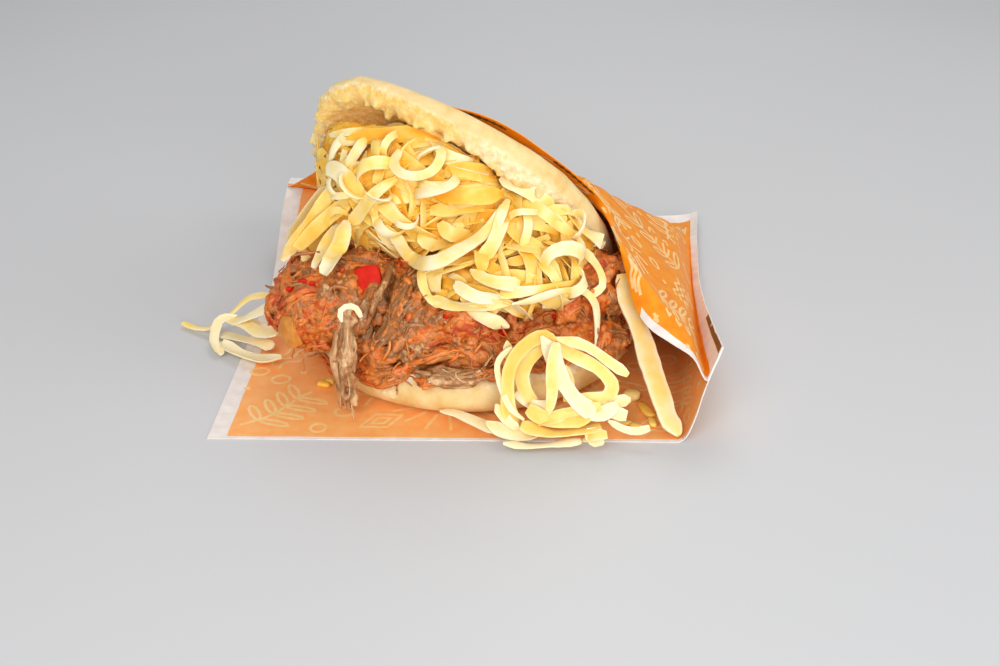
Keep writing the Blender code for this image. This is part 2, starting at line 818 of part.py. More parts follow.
# Strips that stand out from the heap, each a smooth line through its own points, with its width and the way it faces.
FREE_STRIPS = (
    (((-42, -4, 64), (-50, -9, 56), (-56, -14, 48), (-60.5, -18, 42), (-63, -20, 38)), 6.5, (-0.5, -0.5, 0.6)),
    (((-42, -8, 56), (-45, -15, 50), (-47, -22, 45.5), (-48.5, -28, 42.5)), 9.0, (-0.3, -0.6, 0.7)),
    (((-46, 4, 62), (-55, 0, 54), (-60, -4, 45), (-60, -8, 38)), 5.0, (-0.6, -0.5, 0.5)),
    (
        ((16, -40, 39), (26, -43, 38), (34, -43, 37), (40, -43, 33), (43, -45, 27), (43, -48, 20)),
        3.4,
        (0.2, -0.8, 0.5),
    ),
)

beef_face = tree_of(beef)
cheese_face = tree_of(cheese)
neighbours = [bread_face, bag_face, beef_face] + [tree_of(topping) for topping in toppings]

shapes, taken = [], []
for knots, width, facing in FREE_STRIPS:
    path = smooth_path(knots, 2)
    strip = ribbon(path, [Vector(facing)] * len(path), width, SHRED_THICKNESS)
    if is_clear(strip[0], neighbours, STRIP_GAP):
        shapes.append(strip)
        taken += path
hanging = [([cheese_face, beef_face], draped, strip) for strip in HANGING_STRIPS]
for trees, lift, strip in hanging + [([cheese_face], arched, strip) for strip in CHEESE_STRIPS]:
    x, y, heading, length, bend, width = strip
    path, ups = laid_from_front(trees, (x, y), heading, length, bend, 6, lift)
    if len(path) < 4:
        continue
    strip = ribbon(path, ups, width, SHRED_THICKNESS)
    if is_clear(strip[0], neighbours, STRIP_GAP):
        shapes.append(strip)
        taken += path
for _ in range(300):
    towards = Vector((random.uniform(-1, 0.7), random.uniform(-1, 0.4), random.uniform(-0.2, 0.8))).normalized()
    seat = Vector((random.uniform(-36, 30), -6, random.uniform(44, 66)))
    spot, normal, _, _ = cheese_face.ray_cast(seat + towards * 70, -towards)
    heading, length = random.uniform(0, 6.3), random.uniform(16, 34)
    bend, width = random.uniform(-200, 200), SHRED_WIDTH * random.uniform(0.75, 1.3)
    if spot is None or len(shapes) >= MOST_STRIPS:
        continue
    path, ups = laid_by_walking(cheese_face, spot, normal, heading, length, bend, 5, arched)
    strip = ribbon(path, ups, width, SHRED_THICKNESS)
    crossed = any((p - q).length < SHRED_WIDTH * 0.7 for p in path for q in taken)
    if not crossed and is_clear(strip[0], neighbours, STRIP_GAP):
        shapes.append(strip)
        taken += path
fuse(cheese, shapes, CHEESE)


# Two smaller clumps of the same strips, fallen out of the mouth: one on the paper in front of the bread, in loops, and
# one at the left over the paper's edge. Each strip is a smooth line through its own points.

FRONT_CORE = (((28, -67, 5), (21, 7, 4), 0), ((22, -65, 9), (8, 4, 8), 0))
FRONT_STRIPS = (
    (((18, -69, 3), (12, -68, 14), (14, -66, 26), (21, -64, 32), (26, -62, 27), (27, -62, 15), (26, -64, 6)), 4.6),
    (((16, -66, 24), (9, -67, 15), (12, -70, 6), (20, -71, 3)), 2.6),
    (((21, -63, 31), (25, -65, 24), (30, -67, 14), (38, -69, 7), (48, -69, 5)), 5.0),
    (((22, -63, 32), (32, -63, 30), (42, -63, 25), (50, -62, 20)), 4.6),
    (((25, -62, 29), (36, -62, 24), (44, -63, 16), (43, -66, 9), (34, -67, 7)), 4.6),
    (((-9, -65, 2.6), (1, -68, 3), (10, -72, 4), (20, -71, 4)), 5.0),
    (((8, -76, 2.6), (20, -77, 4), (34, -76, 3)), 4.0),
    (((16, -71, 6), (28, -73, 5), (42, -73, 3)), 5.0),
    (((24, -66, 8), (25, -70, 16), (28, -72, 6)), 4.4),
    (((36, -66, 6), (46, -68, 8), (52, -71, 3)), 4.0),
)
LEFT_CORE = (((-80, -9, 5), (9, 7, 3.4), 0), ((-75, -15, 6), (7, 7, 3.5), 0))
LEFT_STRIPS = (
    (((-104, 1, 2.6), (-98, -3, 2.8), (-92, -5, 4.2), (-85, -2, 8), (-79, 0, 12), (-72, -1, 14)), 3.2),
    (((-83, -4, 7), (-90, -6, 6), (-90, -14, 3), (-86, -21, 2)), 4.4),
    (((-84, -4, 7), (-79, -10, 8), (-73, -16, 8), (-69, -21, 8)), 5.0),
    (((-86, -14, 3), (-79, -21, 3), (-71, -26, 4), (-66, -29, 6)), 5.0),
    (((-82, -8, 8), (-75, -10, 11), (-69, -10, 14)), 5.0),
)
LOOSE_STRAND = ((48.5, -30, 32), (53, -43, 23), (57.5, -55, 13), (61, -65, 6), (64, -71, 2.6))
LOOSE_STRAND_SIZE = (7.0, 2.6)
FLAT = Vector((0, -0.15, 0.98))


def clump(name, core_lumps, strips, facing, neighbours):
    """A small heap whose strips lie flat low down and turn to face this way higher up."""
    made = core_of(name, core_lumps, 0.1, CHEESE)
    loose = []
    for knots, width in strips:
        path = smooth_path(knots, 2)
        ups = [FLAT.lerp(facing, smoothstep(4, 12, point.z)) for point in path]
        strip = ribbon(path, ups, width, SHRED_THICKNESS)
        while len(path) > 4 and not is_clear(strip[0], neighbours):
            path, ups = path[:-1], ups[:-1]
            strip = ribbon(path, ups, width, SHRED_THICKNESS)
        if is_clear(strip[0], neighbours):
            loose.append(strip)
    fuse(made, loose, CHEESE)
    for neighbour in (bread, bag, beef):
        cut_clear(made, neighbour)
    return made


neighbours.append(tree_of(cheese))
front = clump("cheese_front", FRONT_CORE, FRONT_STRIPS, Vector((0.1, -0.9, 0.35)), neighbours)
left = clump("cheese_left", LEFT_CORE, LEFT_STRIPS, Vector((-0.3, -0.4, 0.8)), neighbours)
path = smooth_path(LOOSE_STRAND, 3)
points, faces = ribbon(path, [Vector((0.35, -0.75, 0.55))] * len(path), *LOOSE_STRAND_SIZE, taper=0.8)
strand = add_mesh("cheese_strand", points, faces, parts, CHEESE)
keep_largest_shell(strand)
for neighbour in (bread, bag, beef, cheese, front):
    cut_clear(strand, neighbour)

for piece in parts.objects:
    piece.data.shade_smooth()
    piece.data.set_sharp_from_angle(angle=math.radians(45))
bpy.data.collections.remove(tools)
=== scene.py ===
"""A round maize bread opened like a clam over shredded beef and grated cheese, in its printed paper
bag. The pieces are worked out in millimetres, in the frame's own directions, and made in metres."""

import math
import random

import bmesh
import bpy
import numpy as np
from mathutils import Euler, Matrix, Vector, noise
from mathutils.bvhtree import BVHTree


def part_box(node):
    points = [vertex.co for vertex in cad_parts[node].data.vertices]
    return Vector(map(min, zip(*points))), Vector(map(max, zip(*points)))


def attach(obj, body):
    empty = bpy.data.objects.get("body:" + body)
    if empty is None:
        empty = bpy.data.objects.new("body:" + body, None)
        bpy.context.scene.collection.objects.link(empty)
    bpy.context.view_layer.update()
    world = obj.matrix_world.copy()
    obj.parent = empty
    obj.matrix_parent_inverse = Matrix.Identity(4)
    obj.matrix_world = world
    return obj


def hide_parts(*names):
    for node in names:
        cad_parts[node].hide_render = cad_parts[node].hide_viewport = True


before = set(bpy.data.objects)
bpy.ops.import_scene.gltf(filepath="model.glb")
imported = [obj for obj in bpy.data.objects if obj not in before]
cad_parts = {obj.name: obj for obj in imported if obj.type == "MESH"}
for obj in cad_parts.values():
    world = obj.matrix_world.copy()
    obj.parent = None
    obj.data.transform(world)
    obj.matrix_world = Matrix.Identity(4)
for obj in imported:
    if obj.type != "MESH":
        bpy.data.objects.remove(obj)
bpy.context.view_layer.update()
# Every random draw has a seed, so that each run gives the same.
random.seed(11)
noise.seed_set(11)


# The table, the light and the eye. A plain pale table top among pale walls, under broad soft lamps: one
# above the left shoulder, a low one far in front, and weaker ones at the right and behind. The camera
# stands where the food was looked at from.

MM = 0.001
EYE = Vector((9.2768, -389.057, 218.068))
LOOKS_DOWN = 29.5
EYE_TURN = Euler((math.radians(90 - LOOKS_DOWN), 0, 0))
LENS = 45.0
SENSOR = 36.0
PICTURE = (1000, 666)
TABLE_WIDTH = 6.0
TABLE_TONES = ((0.3, "CBCCCE"), (0.7, "CFD0D2"))
WALL_COLOUR = "EAE9E8"
WALL_LIGHT = 0.50
LIT_PLACE = Vector((0, 0, 30))
# Each lamp's name, its place, how wide it is in metres, and its power in watts.
LAMPS = (
    ("soft lamp", (-240, -640, 600), 0.60, 3.0),
    ("side lamp", (620, -260, 420), 0.55, 1.5),
    ("low lamp", (300, -1060, 320), 0.45, 5.0),
    ("back lamp", (60, 560, 700), 0.50, 1.8),
)


def linear(colour):
    """An sRGB hex colour as the linear one that a shader takes."""
    shares = [int(colour[k : k + 2], 16) / 255 for k in (0, 2, 4)]
    return (*[s / 12.92 if s < 0.04045 else ((s + 0.055) / 1.055) ** 2.4 for s in shares], 1.0)


def finish_named(name):
    """A new material and its Principled shader."""
    made = bpy.data.materials.new(name)
    made.use_nodes = True
    return made, made.node_tree.nodes["Principled BSDF"]


def set_sockets(made, sockets):
    """Links each of the node's sockets, by name or place, to another node's output, or sets its value."""
    for place, value in sockets.items():
        if isinstance(value, bpy.types.NodeSocket):
            made.id_data.links.new(value, made.inputs[place])
        else:
            made.inputs[place].default_value = value


def put(finish, kind, settings=None, sockets=None, output=None):
    """Adds a node with its settings and sockets, and returns the output named, or else its first."""
    made = finish.node_tree.nodes.new("ShaderNode" + kind)
    for name, value in (settings or {}).items():
        setattr(made, name, value)
    set_sockets(made, sockets or {})
    if output:
        return made.outputs[output]
    return next(output for output in made.outputs if output.enabled)


def ramp(finish, factor, stops):
    """A colour ramp over the factor, through stops of place and sRGB colour."""
    output = put(finish, "ValToRGB", None, {0: factor})
    band = output.node.color_ramp
    while len(band.elements) < len(stops):
        band.elements.new(0.5)
    for element, (place, colour) in zip(band.elements, stops):
        element.position = place
        element.color = linear(colour)
    return output


bpy.ops.object.camera_add(location=EYE * MM, rotation=EYE_TURN)
camera = bpy.context.object
camera.data.lens = LENS
camera.data.sensor_width = SENSOR
bpy.context.scene.camera = camera

for name, place, size, power in LAMPS:
    bpy.ops.object.light_add(type="AREA", location=Vector(place) * MM)
    lamp = bpy.context.object
    lamp.name = name
    lamp.data.shape = "DISK"
    lamp.data.size = size
    lamp.data.energy = power
    lamp.rotation_euler = (LIT_PLACE - Vector(place)).to_track_quat("-Z", "Y").to_euler()

walls = bpy.data.worlds.new("pale walls")
walls.use_nodes = True
set_sockets(walls.node_tree.nodes["Background"], {"Color": linear(WALL_COLOUR), "Strength": WALL_LIGHT})
bpy.context.scene.world = walls
bpy.context.scene.view_settings.view_transform = "Standard"

# Smooth painted board: a satin face whose tone drifts a little over hand's breadths.
board, shader = finish_named("satin painted board")
place = put(board, "TexCoord", output="Object")
drift = put(board, "TexNoise", None, {"Vector": place, "Scale": 3.0, "Detail": 2.0})
set_sockets(shader, {"Base Color": ramp(board, drift, TABLE_TONES), "Roughness": 0.55})
bpy.ops.mesh.primitive_plane_add(size=TABLE_WIDTH, location=(0, 0, 0))
table = bpy.context.object
table.name = "table"
table.data.materials.append(board)


# The bread. A flat round of boiled maize dough, baked to a thin pale skin, split by hand and opened, so
# that its inside is a torn crumb. Both halves are one piece, joined at the back right.

RIM_KNOTS = (
    (56, 9, 11),
    (50, 4, 25),
    (45, -9, 44),
    (30, -22, 68),
    (8, -25, 84),
    (-13, -18, 92),
    (-35, -3, 94),
    (-48, 7, 84.5),
    (-51, 15, 68),
    (-48, 28, 52),
    (-34, 46, 28),
    (-6, 53, 11),
    (19, 49, 8),
    (39, 37, 8),
    (52, 22, 8),
)
OUTWARD = Vector((0.45, 0.54, 0.71)).normalized()
UPPER_THICKNESS = 9.0
LOWER_MIDDLE = Vector((0, -3.5, 0))
LOWER_REACH = 58.0
LOWER_LID = 15.5
HINGE_LID = 30.0
UNDERSIDE = 0.55
BREAD_VOXEL = 0.85
BREAD_SOFTENING = 34
LOST_BY_SOFTENING = 0.5
TORN_BITS = 320
CARVED = 1.5


def smooth_path(knots, steps, closed=False):
    """Points on a Catmull-Rom curve through the knots, with this many steps to each span."""
    knots = [Vector(k) for k in knots]
    count = len(knots)
    path = []
    for i in range(count if closed else count - 1):
        if closed:
            a, b, c, d = (knots[(i + k) % count] for k in (-1, 0, 1, 2))
        else:
            a, b, c, d = (knots[min(max(i + k, 0), count - 1)] for k in (-1, 0, 1, 2))
        for step in range(steps):
            t = step / steps
            second = 2 * a - 5 * b + 4 * c - d
            third = 3 * b - a - 3 * c + d
            path.append(0.5 * (2 * b + (c - a) * t + second * t**2 + third * t**3))
    if not closed:
        path.append(knots[-1])
    return path


def smoothstep(low, high, value):
    t = min(max((value - low) / (high - low), 0.0), 1.0)
    return t * t * (3 - 2 * t)


def placed(name, mesh):
    """A new object with this mesh, in the scene."""
    made = bpy.data.objects.new(name, mesh)
    bpy.context.scene.collection.objects.link(made)
    return made


def taken_from(node, name):
    """A new object with the node's mesh, its loose triangles joined up."""
    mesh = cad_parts[node].data.copy()
    mesh.materials.clear()
    shape = bmesh.new()
    shape.from_mesh(mesh)
    bmesh.ops.remove_doubles(shape, verts=shape.verts, dist=1e-6)
    shape.to_mesh(mesh)
    shape.free()
    return placed(name, mesh)


def picked(piece, *others):
    """Selects the piece, as the one that an operator works on, and any others with it."""
    bpy.ops.object.select_all(action="DESELECT")
    for one in (piece, *others):
        one.select_set(True)
    bpy.context.view_layer.objects.active = piece


def shaped(piece, *modifiers):
    """Adds each modifier, given as its kind and settings, and applies it."""
    picked(piece)
    for kind, settings in modifiers:
        added = piece.modifiers.new(kind.title(), kind)
        for name, value in settings.items():
            setattr(added, name, value)
        bpy.ops.object.modifier_apply(modifier=added.name)


def grown_together(piece, voxel, rounds=0, factor=0.5):
    """Grows the piece's closed shapes into one skin of this voxel size, and softens it so many times."""
    shaped(piece, ("REMESH", {"mode": "VOXEL", "voxel_size": voxel * MM}))
    if rounds:
        shaped(piece, ("SMOOTH", {"factor": factor, "iterations": rounds}))


def points_of(piece):
    """The piece's points and its normals at them, in millimetres."""
    count = len(piece.data.vertices)
    points = np.empty(count * 3)
    normals = np.empty(count * 3)
    piece.data.vertices.foreach_get("co", points)
    piece.data.vertex_normals.foreach_get("vector", normals)
    return points.reshape(-1, 3) / MM, normals.reshape(-1, 3)


def set_points(piece, points):
    piece.data.vertices.foreach_set("co", (np.asarray(points) * MM).ravel())
    piece.data.update()


def note(piece, name, values):
    """Keeps one number for each point, which a material reads by this name."""
    kept = piece.data.attributes.new(name, "FLOAT", "POINT")
    kept.data.foreach_set("value", np.asarray(values, np.float32))


def settled(piece, finish, slot, *nodes, crisp=180):
    """Gives the piece its material and smooth shading, puts it under the root body, and hides the CAD parts
    it stands for. Edges sharper than this stay crisp.
    """
    piece.data.materials.clear()
    piece.data.materials.append(finish)
    picked(piece)
    bpy.ops.object.shade_smooth_by_angle(angle=math.radians(crisp))
    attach(piece, "root")
    if nodes:
        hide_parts(*nodes)


def rough(place, size, detail=3):
    """Noise from -1 to 1 whose lumps are this many millimetres across."""
    return noise.fractal(Vector(place) / size, 1.0, 2.0, detail)


def jitter(draw, spread):
    """A short step in a random direction."""
    return Vector([draw.gauss(0, spread) for _ in range(3)])


def tumbled(draw):
    """A random turn about all three axes."""
    return Euler([draw.uniform(0, 6.3) for _ in range(3)]).to_matrix()


def torn_line():
    """Places on the upper half's rim, where the crumb was pulled apart, each with its way to the middle."""
    rim = smooth_path(RIM_KNOTS, 10, closed=True)
    middle = sum(rim, Vector()) / len(rim)
    return [(p, (middle - p).normalized()) for p in rim if p.z > 14]


def add_torn_bits(bread, line):
    """Adds flakes of crumb along the torn line, a little inside the upper half's inner face."""
    bits = bmesh.new()
    for _ in range(TORN_BITS):
        p, inwards = random.choice(line)
        size = random.uniform(0.5, 1.7)
        reach = random.uniform(1.5, 5.0)
        depth = UPPER_THICKNESS - 0.4 - 0.12 * reach + random.uniform(0, 0.9)
        seat = p + inwards * reach - OUTWARD * depth + jitter(random, 0.6)
        turn = tumbled(random)
        stretch = Vector((size * random.uniform(0.8, 1.7), size, size * random.uniform(0.5, 1.0)))
        made = bmesh.ops.create_icosphere(bits, subdivisions=2, radius=1.0)
        for v in made["verts"]:
            grain = 1 + 0.35 * noise.noise(v.co * 2.2 + seat)
            v.co = (seat + turn @ (stretch * grain * v.co)) * MM
    bits.from_mesh(bread.data)
    bits.to_mesh(bread.data)
    bits.free()


def how_torn(place, normal, line):
    """How far a point lies on torn crumb, how far inside the fold it lies, which is painted golden as shade,
    and how far it is carved back there.
    """
    if place.z <= LOWER_LID and (place - LOWER_MIDDLE).to_2d().length <= LOWER_REACH:
        upturned = normal.z + 0.25 * rough(place, 4)
        return smoothstep(0.55, 0.85, upturned) * smoothstep(9.5, 12.0, place.z), 0.0, 0.0
    early = 0.5 * smoothstep(-8, -28, place.x)
    inner = smoothstep(early - 0.05, early - 0.55, normal.dot(OUTWARD) + 0.22 * rough(place, 5))
    if place.z <= HINGE_LID:
        return inner, 0.0, 0.0
    rim_point, inwards = min(line[::3], key=lambda pair: (pair[0] - place).length_squared)
    reach = (place - rim_point).dot(inwards) + 1.5 * rough(place, 6)
    under = (rim_point - place).dot(OUTWARD) + 1.2 * rough(place, 5)
    thinner = smoothstep(10, -10, place.x) * smoothstep(3.2, 7.0, under) * smoothstep(62, 76, place.z)
    return inner, inner * max(smoothstep(2.5, 5.5, reach), thinner), CARVED * thinner


def baked_bread():
    """The CAD part's bread, with a baked skin outside and torn crumb within."""
    bread = taken_from("bread", "opened_bread")
    grown_together(bread, BREAD_VOXEL, BREAD_SOFTENING)
    points, normals = points_of(bread)
    set_points(bread, points + normals * LOST_BY_SOFTENING)
    line = torn_line()
    add_torn_bits(bread, line)
    grown_together(bread, BREAD_VOXEL, 2)
    points, normals = points_of(bread)
    crumb, painted_fold_shade = [], []
    for k, (p, n) in enumerate(zip(points, normals)):
        place = Vector(p)
        inner, depth, carved = how_torn(place, Vector(n), line)
        crumb.append(inner)
        # How far inside the fold a point lies, kept so that the material can paint it golden as shade.
        painted_fold_shade.append(depth)
        skin = 0.18 * rough(place, 16, 2) + 0.05 * rough(place, 2.4, 2)
        torn = 0.50 * rough(place, 3.4, 4) + 0.45 * rough(place, 1.5, 2)
        uneven = skin * (1 - inner) + torn * inner * (1 - 0.6 * depth)
        points[k] = p + n * uneven + np.array(OUTWARD) * carved
    points[:, 2] = np.maximum(points[:, 2], UNDERSIDE)
    set_points(bread, points)
    note(bread, "crumb", crumb)
    note(bread, "painted_fold_shade", painted_fold_shade)
    return bread


# Baked maize dough: matt, a little floury, and pale all through. Light goes a few millimetres into it, and
# the torn crumb is whiter at its edge. Far inside the fold the crumb is painted golden: painted shade for
# the cavity under the rim, with the light bounced into it.
dough, shader = finish_named("baked maize dough")
place = put(dough, "TexCoord", output="Object")
names = ("crumb", "painted_fold_shade")
crumb, painted_fold_shade = (put(dough, "Attribute", {"attribute_name": name}, output="Fac") for name in names)
blotches = put(dough, "TexNoise", None, {"Vector": place, "Scale": 85.0, "Detail": 4.0, "Roughness": 0.6})
skin = ramp(dough, blotches, ((0.30, "DEB56C"), (0.48, "EACB8C"), (0.72, "F4DFAE")))
flecks = put(dough, "TexNoise", None, {"Vector": place, "Scale": 520.0, "Detail": 3.0})
inside = ramp(dough, flecks, ((0.30, "F2D08C"), (0.55, "F9E6BA"), (0.75, "FDF3D8")))
# Painted shade: crumb far inside the fold is coloured golden, for the shade under the rim and the light
# bounced into it.
painted_hollow_shade = ramp(dough, flecks, ((0.30, "FAC668"), (0.55, "FDD482"), (0.75, "FEE2A4")))
inside = put(dough, "Mix", {"data_type": "RGBA"}, {0: painted_fold_shade, 6: inside, 7: painted_hollow_shade})
tone = put(dough, "Mix", {"data_type": "RGBA"}, {0: crumb, 6: skin, 7: inside})
pores = put(dough, "TexVoronoi", {"feature": "F1"}, {"Vector": place, "Scale": 900.0})
depth = put(dough, "MapRange", None, {0: crumb, 3: 0.12, 4: 0.55})
bump = put(dough, "Bump", None, {"Strength": depth, "Distance": 0.0005, "Height": pores})
set_sockets(
    shader,
    {
        "Base Color": tone,
        "Roughness": 0.68,
        "Normal": bump,
        "Specular IOR Level": 0.3,
        "Subsurface Weight": 0.5,
        "Subsurface Radius": (1.0, 0.66, 0.28),
        "Subsurface Scale": 0.005,
    },
)

bread = baked_bread()
settled(bread, dough, "bread", "bread")


# The bag. Two sheets of printed greaseproof paper, white where the print stops, sealed to each other along
# the back and the right side. The lower one lies on the table, and the upper one is folded up over the
# bread.

BAG_STEPS = 14
FINER = 5
SHEET_THICKNESS = 0.28
CAD_SHEET = 0.5
FLANGE_SHARE = 0.05
FOLD_SHARE = 0.83
FRONT_LEFT = Vector((-81, -70, 0))
BACK_LEFT = Vector((-75, 80, 0))
FRONT_FOLD = Vector((67, -72, 0))
BACK_FOLD = Vector((84, 90, 0))
BACK_LEFT_LIFT = 24
LIFT_REACH = 56
BACK_LIFT = 3
SEAM_EDGE = ((77, -62, 28), (79, -30, 20), (81, 0, 12), (85, 40, 6), (92, 92, 4))
FRONT_EDGE = (
    (-32, 12, 85),
    (-12, -9, 87),
    (9, -18, 83.4),
    (28, -18, 70),
    (44, -14, 52.5),
    (49, -28, 39.5),
    (53, -47, 30),
    (63, -60, 27),
    (73, -65, 22),
)
LEFT_EDGE = ((-32, 12, 85), (-38, 26, 74), (-50, 46, 50), (-62, 64, 34), (-74, 73, 24))
SHOULDER = Vector((47, 25, 43))
FACE_SLOPES = ((0.88, 0.02), (0.32, 0.65))
SEAM_FOOT = 4.0
SEAM_SLOPE = 0.7
SEAM_BACK = 84.0
STIFF_LEFT = 18.0
PAPER_STANDOFF = 2.0
DRAPE_ROUNDS = 6
DRAPE_PULL = 0.7
TABLE_GAP = 0.02
INK_WIDTH = 1.0
INK_THICKNESS = 0.03
INK_OUT = 0.02
MOTIF_TRIES = 9000
MOTIF_GAP = 0.2


def tree_of(piece):
    """A search tree of the piece's faces, in millimetres."""
    corners = [v.co / MM for v in piece.data.vertices]
    return BVHTree.FromPolygons(corners, [tuple(face.vertices) for face in piece.data.polygons])


def nearest(tree, point):
    """The surface's nearest place to the point, its normal there, and how far out the point stands."""
    spot, normal, _, distance = tree.find_nearest(point)
    return spot, normal, distance if (point - spot).dot(normal) >= 0 else -distance


def along(knots, share):
    """The point at this share of the way along the curve through the knots."""
    path = smooth_path(knots, 8)
    place = share * (len(path) - 1)
    at = min(int(place), len(path) - 2)
    return path[at].lerp(path[at + 1], place - at)


def lower_sheet(u, v):
    """The lower sheet's underside, u from the left to the seam and v from the front to the back."""
    seam = along(SEAM_EDGE, v)
    fold = FRONT_FOLD.lerp(BACK_FOLD, v)
    if u < FOLD_SHARE:
        place = FRONT_LEFT.lerp(BACK_LEFT, v).lerp(fold, u / FOLD_SHARE)
    else:
        t = (u - FOLD_SHARE) / (1 - FOLD_SHARE)
        place = fold.lerp(Vector((seam.x, seam.y, 0)), t**1.6)
        place.z = seam.z * t**1.2
    corner = BACK_LEFT_LIFT * (1 - smoothstep(4, LIFT_REACH, (BACK_LEFT - place).to_2d().length))
    back = BACK_LIFT * smoothstep(0.85, 1.0, v)
    place.z = max(place.z, corner, back)
    return place


def stiff_height(place):
    """The lowest that the upper sheet hangs over this place."""
    heights = [SEAM_FOOT + SEAM_SLOPE * (SEAM_BACK - place.y), SHOULDER.z + place.x - STIFF_LEFT]
    for across, back in FACE_SLOPES:
        heights.append(SHOULDER.z - across * (place.x - SHOULDER.x) - back * (place.y - SHOULDER.y))
    return min(heights)


def grid_normals(grid):
    """The upward normal at each point of a grid of points."""
    normals = []
    for i, column in enumerate(grid):
        row = []
        for j in range(len(column)):
            across = grid[min(i + 1, len(grid) - 1)][j] - grid[max(i - 1, 0)][j]
            back = column[min(j + 1, len(column) - 1)] - column[max(j - 1, 0)]
            row.append(across.cross(back).normalized())
        normals.append(row)
    return normals


def upper_sheet(shares, lower, lift, obstacle):
    """The upper sheet's underside: a patch between its four edges, settled over the bread like a cloth."""
    last = len(shares) - 1
    inner = last - 1
    grid = [[Vector() for _ in shares] for _ in shares]
    for i in range(last + 1):
        for j in range(last + 1):
            if i >= inner or j >= inner:
                grid[i][j] = lower[i][j] + lift[i][j] * CAD_SHEET
    for i in range(inner):
        grid[i][0] = along(FRONT_EDGE, i / inner)
        grid[0][i] = along(LEFT_EDGE, i / inner)
    for i in range(1, inner):
        for j in range(1, inner):
            u, v = i / inner, j / inner
            sides = grid[i][0].lerp(grid[i][inner], v) + grid[0][j].lerp(grid[inner][j], u)
            ends = grid[0][0].lerp(grid[inner][0], u).lerp(grid[0][inner].lerp(grid[inner][inner], u), v)
            grid[i][j] = sides - ends
    for _ in range(DRAPE_ROUNDS):
        for i in range(1, inner):
            for j in range(1, inner):
                around = grid[i - 1][j] + grid[i + 1][j] + grid[i][j - 1] + grid[i][j + 1]
                place = grid[i][j].lerp(around / 4, DRAPE_PULL)
                place.z = max(place.z, stiff_height(place))
                spot, normal, out = nearest(obstacle, place)
                if out < PAPER_STANDOFF:
                    place = spot + normal * PAPER_STANDOFF
                grid[i][j] = place
    return grid


def finer(grid):
    """The same sheet with each of its steps drawn out smoothly into several."""
    rows = [smooth_path(row, FINER) for row in grid]
    columns = [smooth_path([row[j] for row in rows], FINER) for j in range(len(rows[0]))]
    return [[column[i] for column in columns] for i in range(len(columns[0]))]


def crumpled(grid, amount, seed, held):
    """The sheet with the slight dents of handled paper, and none where it is held flat."""
    normals = grid_normals(grid)
    last = len(grid) - 1
    made = []
    for i, row in enumerate(grid):
        line = []
        for j, place in enumerate(row):
            dent = rough(place + Vector((seed, 0, 0)), 26, 2)
            dent += 0.35 * abs(rough(place + Vector((0, seed, 0)), 11, 2))
            line.append(place + normals[i][j] * (amount * dent * held(i / last, j / last)))
        made.append(line)
    return made


def sheet_piece(name, under, over):
    """A closed sheet between two like grids, with where it is on the flat paper kept as its UV map."""
    size = len(under)
    points = [p for grid in (under, over) for row in grid for p in row]

    def at(level, i, j):
        return (level * size + i) * size + j

    faces = []
    end = size - 1
    for i in range(end):
        for j in range(end):
            faces.append((at(0, i, j + 1), at(0, i + 1, j + 1), at(0, i + 1, j), at(0, i, j)))
            faces.append((at(1, i, j), at(1, i + 1, j), at(1, i + 1, j + 1), at(1, i, j + 1)))
    for k in range(end):
        faces.append((at(0, k, 0), at(0, k + 1, 0), at(1, k + 1, 0), at(1, k, 0)))
        faces.append((at(0, k + 1, end), at(0, k, end), at(1, k, end), at(1, k + 1, end)))
        faces.append((at(0, 0, k + 1), at(0, 0, k), at(1, 0, k), at(1, 0, k + 1)))
        faces.append((at(0, end, k), at(0, end, k + 1), at(1, end, k + 1), at(1, end, k)))
    mesh = bpy.data.meshes.new(name)
    mesh.from_pydata([p * MM for p in points], [], faces)
    layer = mesh.uv_layers.new(name="flat paper")
    for loop in mesh.loops:
        k = loop.vertex_index % (size * size)
        layer.data[loop.index].uv = (k // size / end, k % size / end)
    return placed(name, mesh)


obstacle = tree_of(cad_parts["bread"])
shares = [(1 - FLANGE_SHARE) * i / BAG_STEPS for i in range(BAG_STEPS + 1)] + [1.0]
lower = [[lower_sheet(u, v) for v in shares] for u in shares]
upper = finer(upper_sheet(shares, lower, grid_normals(lower), obstacle))
lower = finer(lower)
size = len(lower)
sealed = BAG_STEPS * FINER


def lower_held(u, v):
    """The lower sheet is flat under the bread, and loose towards its edges."""
    return 0.15 + 0.85 * smoothstep(0.72, 0.9, u)


def upper_held(u, v):
    """The upper sheet is held at its seams and over the bread's rim."""
    seams = (1 - smoothstep(0.80, 0.93, u)) * (1 - smoothstep(0.80, 0.93, v))
    return seams * (0.4 + 0.6 * smoothstep(0.0, 0.2, v))


lower = crumpled(lower, amount=0.7, seed=40, held=lower_held)
upper = crumpled(upper, amount=0.9, seed=90, held=upper_held)
lift = grid_normals(lower)
for i in range(size):
    for j in range(size):
        lower[i][j].z = max(lower[i][j].z, TABLE_GAP)
        if i >= sealed or j >= sealed:
            upper[i][j] = lower[i][j] + lift[i][j] * (SHEET_THICKNESS + TABLE_GAP)
rise = grid_normals(upper)
lower_over = [[p + n * SHEET_THICKNESS for p, n in zip(*rows)] for rows in zip(lower, lift)]
upper_over = [[p + n * SHEET_THICKNESS for p, n in zip(*rows)] for rows in zip(upper, rise)]
lower_piece = sheet_piece("bag_lower_sheet", lower, lower_over)
upper_piece = sheet_piece("bag_upper_sheet", upper, upper_over)

# Where the print starts at the left and the front and stops at the right and the back, in shares of the
# sheet, and how far along the front its unprinted margin starts.
MARGINS = {
    "lower": (0.035, 0.012, 0.945, 0.945, -1.0),
    "upper": (0.0, 0.024, 0.945, 0.945, 0.70),
}
# Painted light and shade: the lower sheet's orange is lighter, to lift the shade inside the bag, and the
# upper sheet's is darker, under the lamps.
PAPER_TONES_WITH_PAINTED_LIGHT = {
    "lower": ((0.35, "FFA85A"), (0.65, "FFB66E")),
    "upper": ((0.35, "F38A0C"), (0.65, "F99A16")),
}
